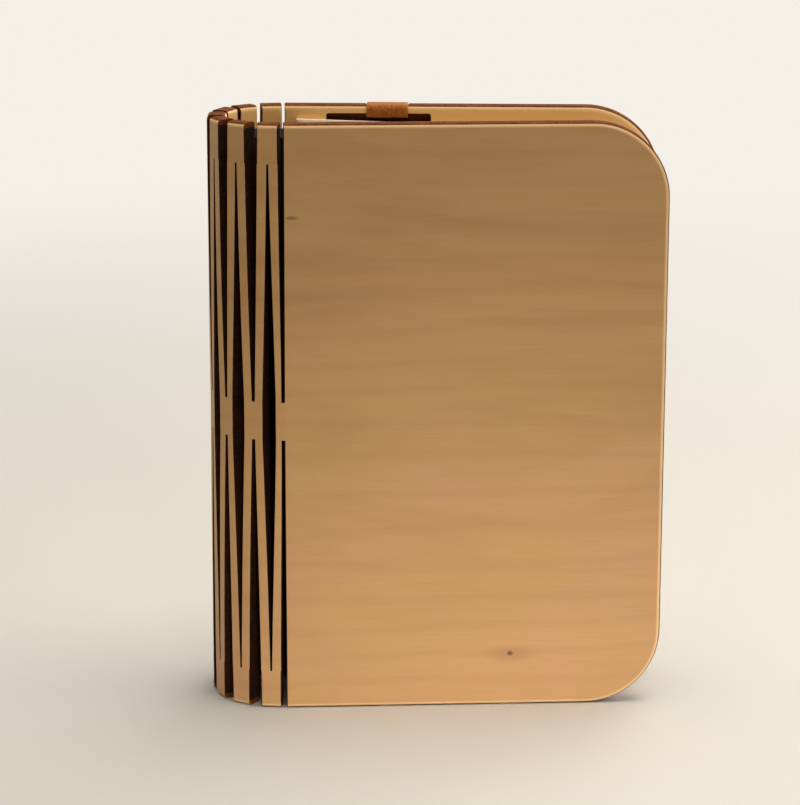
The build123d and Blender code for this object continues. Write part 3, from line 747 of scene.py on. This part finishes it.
# ---------------------------------------------------------------- strap and screws
class BOOKLAMP_OT_strap(bpy.types.Operator):
    """Make the leather strap through the back cover's slot, and its screw"""
    bl_idname = "book_lamp.strap"
    bl_label = "Strap"

    def execute(self, context):
        wood, strap = context.scene.book_lamp_wood, context.scene.book_lamp_strap
        outward, along, origin = self.cover_axes(wood, strap)
        inner = wood.sheet / 2 + strap.clearance + strap.thickness / 2
        outer = inner + strap.thickness + strap.layer_gap
        top = COVER_TOP - strap.notch + strap.clearance + strap.thickness / 2
        # Up the outside, in through the slot, out over the top edge, down and up under itself
        passage, start = strap.slot_height + 0.2 * MM, COVER_TOP - 15 * MM
        foot, end = COVER_TOP - 32 * MM, start - 0.4 * MM
        corners = [(inner, start), (inner, passage), (-inner, passage), (-inner, top),
                   (outer, top), (outer, foot), (inner, foot), (inner, end)]
        edge_bend, foot_bend = 0.9 * MM, (outer - inner) / 2 * 0.97
        path = self.round_path([Vector(corner) for corner in corners],
                               [edge_bend] * 4 + [foot_bend] * 2)
        form = bmesh.new()
        half, thick, parts = strap.width / 2, strap.thickness / 2, 12
        row = [BAND_NIP - half + (strap.width - 2 * BAND_NIP) * part / parts
               for part in range(parts + 1)]
        section = [(-half, BAND_NIP - thick), *((across, -thick) for across in row),
                   (half, BAND_NIP - thick), (half, thick - BAND_NIP),
                   *((across, thick) for across in reversed(row)), (-half, thick - BAND_NIP)]
        layer = form.verts.layers.float_vector.new("strap")
        rings, run = [], 0.0
        for at, point in enumerate(path):
            before, after = path[max(at - 1, 0)], path[min(at + 1, len(path) - 1)]
            run += (point - before).length if at else 0
            tangent = (after - before).normalized()
            normal = Vector((-tangent.y, tangent.x))
            ring = []
            for across, through in section:
                # Soft leather pulls in a little along its edges, never past the strap's own width
                waist = 1 - 0.012 * (1 + math.sin(run / MM * 0.9)) / 2
                spot = point + normal * through
                vert = form.verts.new(origin + outward * spot.x + along * across * waist
                                      + Vector((0, 0, spot.y)))
                vert[layer] = (across, run, through)
                ring.append(vert)
            rings.append(ring)
        loft(form, rings)
        form.faces.new(list(reversed(rings[0])))
        form.faces.new(rings[-1])
        bmesh.ops.recalc_face_normals(form, faces=form.faces)
        mesh = mesh_from("strap_leather_band", form)
        mesh.materials.append(finish("vegetable_tanned_leather"))
        piece = put("strap_leather_band", mesh)
        for face in mesh.polygons:
            face.use_smooth = True
        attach(piece, "back_cover")
        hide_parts("leather_strap")
        self.make_flap(wood, strap, outward, along, origin)
        self.make_screw(wood, strap, outward, along, origin)
        return {"FINISHED"}

    def make_flap(self, wood, strap, outward, along, origin):
        """Leather sheet behind the cover's slot, which the strap is cut in one with, put there so
        that the slot looks dark: painted shade.
        """
        middle = strap.slot_from_spine - strap.from_spine
        half = strap.slot_length / 2 + 1.1 * MM
        corners = rounded_block(middle, COVER_TOP - 15 * MM, COVER_TOP - 0.7 * MM, half,
                                2.0 * MM, 5)
        form = bmesh.new()
        layer = form.verts.layers.float_vector.new("strap")
        half_thick = strap.thickness * FLAP_HALF
        add_board(form, corners, [0.12 * MM] * len(corners), half_thick)
        bmesh.ops.remove_doubles(form, verts=form.verts, dist=MERGE)
        for vert in form.verts:
            # Its edges take the same paler tone as the strap's, so they share one half width
            vert[layer] = ((vert.co.x - middle) * strap.width / 2 / half, vert.co.y, vert.co.z)
        mesh = mesh_from("slot_shade_flap", form)
        depth = wood.sheet / 2 + strap.clearance + half_thick
        mesh.transform(placed(origin + outward * depth, along, (0, 0, 1), -outward))
        # Its darker leather paints the shade inside the slot
        mesh.materials.append(finish("slot_shade_leather"))
        piece = put("slot_shade_flap", mesh)
        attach(piece, "back_cover")

    def cover_axes(self, wood, strap):
        """Outward and fore-edge directions of the back cover, and the strap's place on it."""
        lean = wood.cover_lean
        outward = Vector((math.sin(lean), math.cos(lean), 0))
        along = Vector((math.cos(lean), -math.sin(lean), 0))
        return outward, along, PLACES[0] + along * (wood.cover_slit + strap.from_spine)

    def round_path(self, corners, radii):
        """Points along a line of straight runs whose inner corners are rounded."""
        points = [corners[0]]
        for at in range(1, len(corners) - 1):
            here = corners[at]
            back, ahead = ((corners[other] - here).normalized() for other in (at - 1, at + 1))
            radius = radii[at - 1]
            centre = here + (back + ahead) * radius
            for forward, sideways in arc(0, 0, radius, 0, 8):
                points.append(centre - ahead * forward - back * sideways)
        points.append(corners[-1])
        spaced = [points[0]]
        for here, there in zip(points, points[1:]):
            parts = max(int((there - here).length / (1.2 * MM)), 1)
            spaced += [here.lerp(there, part / parts) for part in range(1, parts + 1)]
        return spaced

    def make_screw(self, wood, strap, outward, along, origin):
        """Brass screw with a domed, slotted head over the strap's layers."""
        head, height, shank = 2.1 * MM, 0.8 * MM, 0.75 * MM
        tip, taper = -2.6 * MM, -2.2 * MM  # in the wood
        rim = 0.25 * MM  # how high the dome starts above the leather
        seat = strap.clearance + 2 * strap.thickness + strap.layer_gap  # from the wood's face
        profile = [(0, tip), (shank * 0.7, tip), (shank, taper), (shank, seat),
                   (head - 0.05 * MM, seat), (head, seat + 0.08 * MM)]
        for step in range(1, 9):
            turn = math.radians(90 * step / 8)
            profile.append((head * math.cos(turn), seat + rim + (height - rim) * math.sin(turn)))
        form = bmesh.new()
        around = 40
        rings = []
        for radius, out in profile:
            if radius < 1e-7:
                rings.append([form.verts.new((0, 0, out))])
            else:
                rings.append([form.verts.new((radius * math.cos(math.tau * at / around),
                                              radius * math.sin(math.tau * at / around), out))
                              for at in range(around)])
        loft(form, rings)
        bmesh.ops.recalc_face_normals(form, faces=form.faces)
        piece = put("strap_brass_screw", mesh_from("strap_brass_screw", form))
        form = bmesh.new()
        bmesh.ops.create_cube(form, size=1.0, matrix=Matrix.LocRotScale(
            (0, 0, seat + height), None, (0.55 * MM, 2.4 * head, 0.9 * MM)))
        cutter = put("driver_slot", mesh_from("driver_slot", form))
        add_modifier(piece, "BOOLEAN", {"object": cutter, "solver": "EXACT"})
        apply_modifiers(piece)
        bpy.data.objects.remove(cutter)
        place = origin + outward * wood.sheet / 2 + Vector((0, 0, COVER_TOP - 10.5 * MM))
        up = outward.cross(along)
        twist = math.radians(24)
        across = along * math.cos(twist) + up * math.sin(twist)
        mesh = piece.data
        mesh.transform(placed(place, across, outward.cross(across), outward))
        mesh.materials.append(finish("brushed_brass"))
        flat_area = 0.4e-6  # only the driver slot has larger faces, and they stay flat
        for face in mesh.polygons:
            face.use_smooth = face.area < flat_area
        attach(piece, "back_cover")
        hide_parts("strap_screw")


# ---------------------------------------------------------------- materials
def blank(name):
    """A new material, the function that adds its nodes, and its Principled shader."""
    material = bpy.data.materials.new(name)
    material.use_nodes = True
    tree = material.node_tree
    return material, partial(node, tree), tree.nodes["Principled BSDF"]


def in_millimetres(add, attribute):
    """Where a point is on the flat sheet or strap that it was made from, in millimetres."""
    place = add("Attribute", attribute_name=attribute).outputs["Vector"]
    return add("VectorMath", place, named={"Scale": 1 / MM}, operation="SCALE")


def rgba(value):
    """A colour as red, green, blue and alpha."""
    return (*value, 1.0)


def birch_plywood_face():
    """Birch face veneer, sanded and left raw: pale, matt, with faint level figure."""
    look = bpy.context.scene.book_lamp_wood
    material, add, shader = blank("birch_plywood_face")
    grain = in_millimetres(add, "sheet")
    place = add("SeparateXYZ", grain)
    broad, fibres, patches = (
        add("TexNoise", add("Mapping", grain, named=laid), named={"Scale": 1.0, **texture})
        for laid, texture in (
            # Broad wavy bands of figure, about 70 mm long and 18 mm high
            ({"Scale": (0.012, 0.045, 0.2), "Rotation": (0, 0, 0.05), "Location": (0.7, 2.3, 0)},
             {"Detail": 3.0, "Roughness": 0.5, "Distortion": 1.6}),
            # Fibres, drawn 0.35 mm apart, a few times coarser than birch's own so that they show
            ({"Scale": (0.09, 2.6, 0.6)}, {"Detail": 4.0, "Roughness": 0.62}),
            # Pinkish patches, about 30 mm long and 20 mm high
            ({"Scale": (0.032, 0.05, 0.1), "Location": (3.1, 0.4, 0)},
             {"Detail": 3.0, "Roughness": 0.6, "Distortion": 0.5})))
    # Growth rings cut nearly flat: wavering lines some 5 mm apart
    laid = add("Mapping", grain, named={"Scale": (0.009, 0.045, 0.1), "Rotation": (0, 0, -0.04)})
    rings = add("TexWave", laid, named={"Scale": 1.0, "Distortion": 7.0, "Detail": 3.0,
                                        "Detail Scale": 0.8, "Detail Roughness": 0.55},
                wave_type="BANDS", bands_direction="Y")
    # The patches are strongest low on the covers and the bands high up, so the bands darken the
    # upper covers as painted shade
    low = add("MapRange", place.outputs["Y"], 85.0, 20.0, interpolation_type="SMOOTHSTEP")
    high = add("MapRange", place.outputs["Y"], 20.0, 100.0, 0.25, 0.75)
    warm = add("Math", add("MapRange", patches, 0.4, 0.68), low, operation="MULTIPLY")
    banded = add("Math", add("MapRange", broad, 0.42, 0.7), high, operation="MULTIPLY")
    ringed = add("MapRange", rings, 0.6, 1.0, 0.0, 0.1)
    combed = add("MapRange", fibres, 0.5, 0.8, 0.0, 0.15)
    layers = [(warm, look.blush), (banded, look.figure), (ringed, look.fibre),
              (combed, look.fibre)]
    # Two pin knots, one in a stain: place along the sheet, height, half width and half height
    for along, up, wide, tall, share, stain in ((67.1, 11.2, 7.5, 2.4, 0.4, look.fibre),
                                                (67.1, 11.2, 0.9, 0.75, 0.95, look.knot),
                                                (22.4, 103.2, 1.9, 0.6, 0.6, look.knot)):
        spot = add("VectorMath", grain, (along, up, 0), operation="SUBTRACT")
        spot = add("VectorMath", spot, (1 / wide, 1 / tall, 0), operation="MULTIPLY")
        away = add("VectorMath", spot, operation="LENGTH").outputs["Value"]
        layers.append((add("MapRange", away, 1.0, 0.15, 0.0, share,
                           interpolation_type="SMOOTHSTEP"), stain))
    # Golden on the inside of the sheet, a painted glow of light bounced off the white pleats,
    #     and bare where its rounded outer edges were sanded, lighter still as a painted highlight
    inside = add("MapRange", place.outputs["Z"], -1.0, -1.9)
    depth = add("Math", place.outputs["Z"], operation="ABSOLUTE")
    # The sanded tint paints a highlight on the rounding next to the face
    sanded_highlight = add("MapRange", depth, 1.995, 1.93, 0.0, 0.9)
    sanded_highlight = add("Math", sanded_highlight, outer_edges(add, place), operation="MULTIPLY")
    base = rgba(look.face)
    for share, over in (*layers, (inside, look.inner), (sanded_highlight, look.sanded)):
        base = add("Mix", share, named={BELOW: base, ABOVE: rgba(over)}, data_type="RGBA")
    rough = add("MapRange", fibres, 0.3, 0.75, 0.44, 0.62)
    bump = add("Bump", named={"Height": fibres, "Strength": 0.25, "Distance": 0.06 * MM})
    fill(shader, {"Base Color": base, "Roughness": rough, "Normal": bump, "IOR": 1.45})
    return material


def outer_edges(add, place):
    """1 along the outline of the wood, which is sanded after the cut and painted with a highlight,
    and 0 in the slits, whose darker burn is painted shade.
    """
    middle, rim, spine = COVER_TOP / MM / 2, 1.05, 21.0  # in millimetres
    along = add("Math", place.outputs["X"], operation="ABSOLUTE")
    along = add("Math", along, spine, operation="GREATER_THAN")
    ends = add("Math", place.outputs["Y"], middle, operation="SUBTRACT")
    ends = add("Math", ends, operation="ABSOLUTE")
    ends = add("Math", ends, middle - rim, operation="GREATER_THAN")
    return add("Math", along, ends, operation="MAXIMUM")


def laser_burnt_plywood_edge():
    """Plywood cut by laser: charred brown glue lines and lighter scorched veneers, dry and matt."""
    look = bpy.context.scene.book_lamp_wood
    material, add, shader = blank("laser_burnt_plywood_edge")
    cut = in_millimetres(add, "sheet")
    place = add("SeparateXYZ", cut)
    # Three veneers of 1.3 mm, whose glue lines burn darkest
    plies = add("Math", place.outputs["Z"], 1.333, operation="DIVIDE")
    plies = add("Math", plies, 0.5, operation="PINGPONG")
    glue = add("MapRange", plies, 0.34, 0.5, 0.0, 0.75)
    # The beam's striations run through the sheet, about 0.25 mm apart, under clouds of smoke
    lines, smoke = (
        add("TexNoise", add("Mapping", cut, named={"Scale": scale}),
            named={"Scale": 1.0, "Detail": 3.0, "Roughness": 0.6})
        for scale in ((3.6, 3.6, 0.35), (0.22, 0.22, 0.7)))
    dark = add("MapRange", add("Math", lines, smoke, operation="ADD"), 0.7, 1.3)
    dark = add("Math", dark, glue, operation="MAXIMUM")
    # In the slits the burn is painted darker as shade; on the outer edges it stays lighter
    slits, outer = (
        add("Mix", dark, named={BELOW: rgba(light), ABOVE: rgba(burnt)}, data_type="RGBA")
        for light, burnt in ((look.slit_scorch_and_shade, look.char), (look.outer_scorch, look.outer_char)))
    base = add("Mix", outer_edges(add, place), named={BELOW: slits, ABOVE: outer}, data_type="RGBA")
    rough = add("MapRange", lines, 0.3, 0.7, 0.8, 0.95)
    bump = add("Bump", named={"Height": lines, "Strength": 0.4, "Distance": 0.08 * MM})
    fill(shader, {"Base Color": base, "Roughness": rough, "Normal": bump,
                  "Specular IOR Level": 0.15})
    return material


def folded_white_paper():
    """Uncoated white paper, scored and folded: soft, matt, with a faint cloudy formation."""
    look = bpy.context.scene.book_lamp_paper
    material, add, shader = blank("folded_white_paper")
    # Clouds of fibre some 3 mm across
    cloud = add("TexNoise", in_millimetres(add, "sheet"),
                named={"Scale": 0.35, "Detail": 5.0, "Roughness": 0.6})
    shade = add("MapRange", cloud, 0.3, 0.75, 0.0, 0.10)
    base = add("Mix", shade, named={BELOW: rgba(look.white), ABOVE: rgba(darker(look.white, 0.8))},
               data_type="RGBA")
    bump = add("Bump", named={"Height": cloud, "Strength": 0.2, "Distance": 0.04 * MM})
    fill(shader, {"Base Color": base, "Normal": bump, "Roughness": 0.85,
                  "Specular IOR Level": 0.2, "Subsurface Weight": 0.25,
                  "Subsurface Radius": (1.0, 0.9, 0.75), "Subsurface Scale": 1.5 * MM})
    return material


def vegetable_tanned_leather():
    """Thin vegetable-tanned strap: pebbled brown face, raw paler edges with loose fibres."""
    look = bpy.context.scene.book_lamp_strap
    return leather("vegetable_tanned_leather", look.leather, look.leather_dark, look.leather_edge)


def slot_shade_leather():
    """Leather of the sheet behind the slot, darker than the strap as painted shade for the slot."""
    look = bpy.context.scene.book_lamp_strap
    return leather("slot_shade_leather", look.root, darker(look.root, 0.6), darker(look.root, 1.2))


def leather(name, face, hollows, raw):
    """Pebbled leather with a paler raw edge, in three tones."""
    material, add, shader = blank(name)
    flat = in_millimetres(add, "strap")
    # Pebbles of the grain, about 0.45 mm across
    pebbles = add("TexVoronoi", flat, named={"Scale": 2.2, "Randomness": 0.9}, feature="F1")
    fluff = add("TexNoise", flat, named={"Scale": 1.4, "Detail": 6.0, "Roughness": 0.7})
    # The raw edge starts 3.7 mm from the strap's middle
    side = add("Math", add("SeparateXYZ", flat).outputs["X"], operation="ABSOLUTE")
    hollow = add("MapRange", pebbles, 0.25, 0.6, 0.0, 0.6)
    worn = add("MapRange", fluff, 0.45, 0.7, 0.0, 0.45)
    edge = add("MapRange", side, 3.7, 4.25, 0.0, 0.8)
    base = rgba(face)
    for share, over in ((hollow, hollows), (worn, raw), (edge, raw)):
        base = add("Mix", share, named={BELOW: base, ABOVE: rgba(over)}, data_type="RGBA")
    rough = add("MapRange", fluff, 0.3, 0.7, 0.55, 0.85)
    height = add("Math", pebbles, -0.6, fluff, operation="MULTIPLY_ADD")
    bump = add("Bump", named={"Height": height, "Strength": 0.6, "Distance": 0.15 * MM})
    fill(shader, {"Base Color": base, "Roughness": rough, "Normal": bump,
                  "Specular IOR Level": 0.25})
    return material


def speckled(name, main_tone, second, size, roughness, metallic=0.0, bump=0.02, specular=0.5):
    """A material of two close tones in specks of a size in millimetres, on Object coordinates."""
    material, add, shader = blank(name)
    place = add("TexCoord").outputs["Object"]
    place = add("Mapping", place, named={"Scale": (1 / (size * MM),) * 3})
    specks = add("TexNoise", place, named={"Scale": 1.0, "Detail": 3.0, "Roughness": 0.6})
    mixed = add("MapRange", specks, 0.35, 0.7, 0.0, 0.5)
    base = add("Mix", mixed, named={BELOW: rgba(main_tone), ABOVE: rgba(second)}, data_type="RGBA")
    rough = add("MapRange", specks, 0.3, 0.7, roughness - 0.08, roughness + 0.08)
    raised = add("Bump", named={"Height": specks, "Strength": 0.35, "Distance": bump * MM})
    fill(shader, {"Base Color": base, "Roughness": rough, "Normal": raised,
                  "Metallic": metallic, "Specular IOR Level": specular})
    return material


def darker(value, share):
    """A colour at a share of its brightness."""
    return tuple(channel * share for channel in value)


def brushed_brass():
    """Turned brass: warm metal with fine rings of tool marks and a soft gleam."""
    look = bpy.context.scene.book_lamp_strap
    return speckled("brushed_brass", look.brass, darker(look.brass, 0.6), 0.25, 0.32,
                    metallic=1.0, bump=0.01)


def bristol_board():
    """Bristol board: dense warm white card with a cloudy formation some 2 mm across."""
    look = bpy.context.scene.book_lamp_paper
    return speckled("bristol_board", look.card, darker(look.card, 0.88), 2.0, 0.85, bump=0.03,
                    specular=0.2)


FINISHES = {make.__name__: make for make in (
    birch_plywood_face, bristol_board, laser_burnt_plywood_edge, folded_white_paper,
    vegetable_tanned_leather, slot_shade_leather, brushed_brass)}


def finish(name):
    """A material by its name, made the first time it is asked for; the frame uses none of them."""
    return bpy.data.materials.get(name) or FINISHES[name]()


def dress(nodes, material):
    """Give CAD nodes another material in every slot."""
    for name in nodes:
        mesh = frame["nodes"][name].data
        mesh.materials.clear()
        mesh.materials.append(material)


class BOOKLAMP_OT_core(bpy.types.Operator):
    """Finish the light core and all that it holds"""
    bl_idname = "book_lamp.core"
    bl_label = "Light Core"

    def execute(self, context):
        look = context.scene.book_lamp_core
        # Moulded ABS with a fine spark-eroded texture, about 0.3 mm, that greys its highlights
        dress(("core_housing", "top_end_cap", "bottom_end_cap"),
              speckled("moulded_black_abs", look.plastic, darker(look.plastic, 1.6), 0.3, 0.85,
                       bump=0.03, specular=0.06))
        # Extruded opal acrylic, nearly even, with a satin skin
        dress(("light_diffuser",), speckled("extruded_opal_acrylic", look.diffuser,
                                            darker(look.diffuser, 0.92), 2.5, 0.32, bump=0.01))
        dress(("end_cap_screws", "usb_socket"),
              speckled("nickel_plated_steel", look.steel, darker(look.steel, 0.7), 0.4, 0.28,
                       metallic=1.0, bump=0.005))
        dress(("circuit_board",), speckled("white_solder_mask", look.laminate,
                                           darker(look.laminate, 0.8), 1.2, 0.35))
        dress(("led_row",), speckled("phosphor_gel", look.phosphor, darker(look.phosphor, 0.85),
                                     0.4, 0.4))
        dress(("board_chips", "magnet_switch"),
              speckled("moulded_epoxy", colour("1b1b1d"), colour("2b2b2e"), 0.15, 0.6))
        dress(("battery_cell",), speckled("aluminised_pouch_film", look.cell,
                                          darker(look.cell, 0.7), 3.0, 0.4, metallic=0.7,
                                          bump=0.05))
        dress(("core_tape",), speckled("closed_cell_foam_tape", colour("3b3b3d"),
                                       colour("58585b"), 0.4, 0.9, bump=0.08))
        dress(("front_cover_magnets", "back_cover_magnets", "switch_magnet"),
              speckled("nickel_plated_magnet", colour("c3c1bb"), colour("9d9b96"), 0.5, 0.25,
                       metallic=1.0, bump=0.004))
        dress(("battery_leads",), self.lead_insulation())
        return {"FINISHED"}

    def lead_insulation(self):
        """Silicone insulation, one lead red and one black, with a faint drawn-on bloom."""
        material, add, shader = blank("silicone_lead_insulation")
        place = add("TexCoord").outputs["Object"]
        side = add("Math", add("SeparateXYZ", place).outputs["Y"], MIDDLE_Y,
                   operation="GREATER_THAN")
        red, black = rgba(colour("a81c16")), rgba(colour("151515"))
        base = add("Mix", side, named={BELOW: red, ABOVE: black}, data_type="RGBA")
        bloom = add("TexNoise", place, named={"Scale": 1 / (0.5 * MM)})
        rough = add("MapRange", bloom, 0.3, 0.7, 0.4, 0.6)
        fill(shader, {"Base Color": base, "Roughness": rough})
        return material


# ---------------------------------------------------------------- stage
class BOOKLAMP_OT_stage(bpy.types.Operator):
    """Set the floor, the light and the camera"""
    bl_idname = "book_lamp.stage"
    bl_label = "Stage"

    def execute(self, context):
        look = context.scene.book_lamp_stage
        scene = context.scene
        scene.view_settings.view_transform = "Standard"
        # Light has to bounce many times to reach down between the white pleats
        scene.cycles.diffuse_bounces = 16
        scene.cycles.max_bounces = 24
        self.make_floor(look)
        self.make_world(scene, look)
        self.make_lights(look)
        self.make_camera(scene)
        return {"FINISHED"}

    def make_floor(self, look):
        """Plain pale floor that keeps the lamp's shadow."""
        form = bmesh.new()
        bmesh.ops.create_grid(form, x_segments=1, y_segments=1, size=3.0)
        floor = put("stage_floor", mesh_from("stage_floor", form))
        material, add, shader = blank("matt_studio_floor")
        fill(shader, {"Base Color": rgba(look.floor), "Roughness": 0.8})
        # Far from the lamp, where no shadow falls, what is seen fades into the backdrop
        place = add("TexCoord").outputs["Object"]
        away = add("VectorMath", place, operation="LENGTH").outputs["Value"]
        far = add("MapRange", away, 0.16, 0.6, interpolation_type="SMOOTHSTEP")
        far = add("Math", far, self.seen(add), operation="MULTIPLY")
        mixed = add("MixShader", far, shader, add("Emission", rgba(look.sky), 1.0))
        fill(material.node_tree.nodes["Material Output"], {"Surface": mixed})
        floor.data.materials.append(material)

    def make_world(self, scene, look):
        """Even light for the lamp, and a pale backdrop where the camera or a reflection looks."""
        scene.world = bpy.data.worlds.new("studio")
        scene.world.use_nodes = True
        tree = scene.world.node_tree
        tree.nodes.clear()
        add = partial(node, tree)
        even = add("Background", (1.0, 0.95, 0.86, 1.0), 0.16)
        pale = add("Background", rgba(look.sky), 1.0)
        add("OutputWorld", add("MixShader", self.seen(add), even, pale))

    def seen(self, add):
        """1 for rays from the camera and for those that mirror and glass send on."""
        path = add("LightPath").outputs
        direct = add("Math", path["Is Camera Ray"], path["Is Glossy Ray"], operation="MAXIMUM")
        return add("Math", direct, path["Is Transmission Ray"], operation="MAXIMUM")

    def make_lights(self, look):
        """Soft lights overhead, beside and behind, and a narrow one on the lamp's foot."""
        for name, place, aim, size, spread, power, tone in (
                ("overhead", (0.08, 0.0, 0.75), (0, 0, 0.05), 0.5, 180, 4.1, (1.0, 0.92, 0.77)),
                ("foot", (0.12, -0.66, 0.07), (0.01, 0, -0.03), 0.12, 20, 0.045,
                 (1.0, 0.93, 0.85)),
                ("side", (0.75, 0.05, 0.3), (0.03, 0, 0.06), 0.5, 180, 1.7, (1.0, 0.94, 0.86)),
                ("behind", (0.4, 0.75, 0.45), (0, 0, 0.05), 0.7, 180, 3.5, (1.0, 0.94, 0.86))):
            lamp = bpy.data.lights.new(name, "AREA")
            lamp.shape = "SQUARE"
            lamp.size = size
            lamp.spread = math.radians(spread)
            lamp.energy = power * look.key_power
            lamp.color = tone
            lit = put(name, lamp)
            lit.location = place
            lit.visible_camera = False
            lit.rotation_euler = (Vector(aim) - Vector(place)).to_track_quat("-Z", "Y").to_euler()

    def make_camera(self, scene):
        """Camera fitted to the lamp's outline: place, pitch, roll, yaw and focal length."""
        pitch, roll, yaw = 0.25205, 0.00258, 0.02031
        focal, long_side = 3165.85, 805  # both in the photo's pixels
        slit, lean = 0.4 * MM, math.radians(2.2)  # the fit counts from the front cover's edge
        place = Vector((10.728, -633.867, 224.853)) * MM + Vector(
            (PLACES[-1].x + slit * math.cos(lean), MIDDLE_Y, 0))
        ahead = Vector((math.sin(yaw), math.cos(yaw), 0))
        right = Vector((math.cos(yaw), -math.sin(yaw), 0))
        forward = ahead * math.cos(pitch) - Vector((0, 0, math.sin(pitch)))
        up = ahead * math.sin(pitch) + Vector((0, 0, math.cos(pitch)))
        right, up = (right * math.cos(roll) + up * math.sin(roll),
                     up * math.cos(roll) - right * math.sin(roll))
        camera = bpy.data.cameras.new("photo_view")
        camera.sensor_fit = "AUTO"
        camera.sensor_width = 36.0
        camera.lens = focal * camera.sensor_width / long_side
        camera.clip_start = 0.01
        view = put("photo_view", camera)
        view.matrix_world = placed(place, right, up, -forward)
        scene.camera = view


class BOOKLAMP_PT_sidebar(bpy.types.Panel):
    """Everything that makes the lamp, in order"""
    bl_label = "Folding Book Lamp"
    bl_idname = "BOOKLAMP_PT_sidebar"
    bl_space_type = "VIEW_3D"
    bl_region_type = "UI"
    bl_category = "Book Lamp"

    def draw(self, context):
        for operator in OPERATORS:
            self.layout.operator(operator.bl_idname)
        for name in SETTINGS:
            box = self.layout.box()
            group = getattr(context.scene, name)
            for field in group.bl_rna.properties:
                if field.identifier not in {"name", "rna_type"}:
                    box.prop(group, field.identifier)


SETTINGS = {"book_lamp_wood": WoodSettings, "book_lamp_paper": PaperSettings,
            "book_lamp_strap": StrapSettings, "book_lamp_core": CoreSettings,
            "book_lamp_stage": StageSettings}
OPERATORS = (BOOKLAMP_OT_covers, BOOKLAMP_OT_slats, BOOKLAMP_OT_pleats, BOOKLAMP_OT_strap,
             BOOKLAMP_OT_core, BOOKLAMP_OT_stage)


def register():
    for group in (*SETTINGS.values(), *OPERATORS, BOOKLAMP_PT_sidebar):
        bpy.utils.register_class(group)
    for name, group in SETTINGS.items():
        setattr(bpy.types.Scene, name, PointerProperty(type=group))


def unregister():
    for name in SETTINGS:
        delattr(bpy.types.Scene, name)
    for group in reversed((*SETTINGS.values(), *OPERATORS, BOOKLAMP_PT_sidebar)):
        bpy.utils.unregister_class(group)


def main():
    register()
    for operator in OPERATORS:
        family, name = operator.bl_idname.split(".")
        getattr(getattr(bpy.ops, family), name)()


if __name__ == "__main__":
    main()
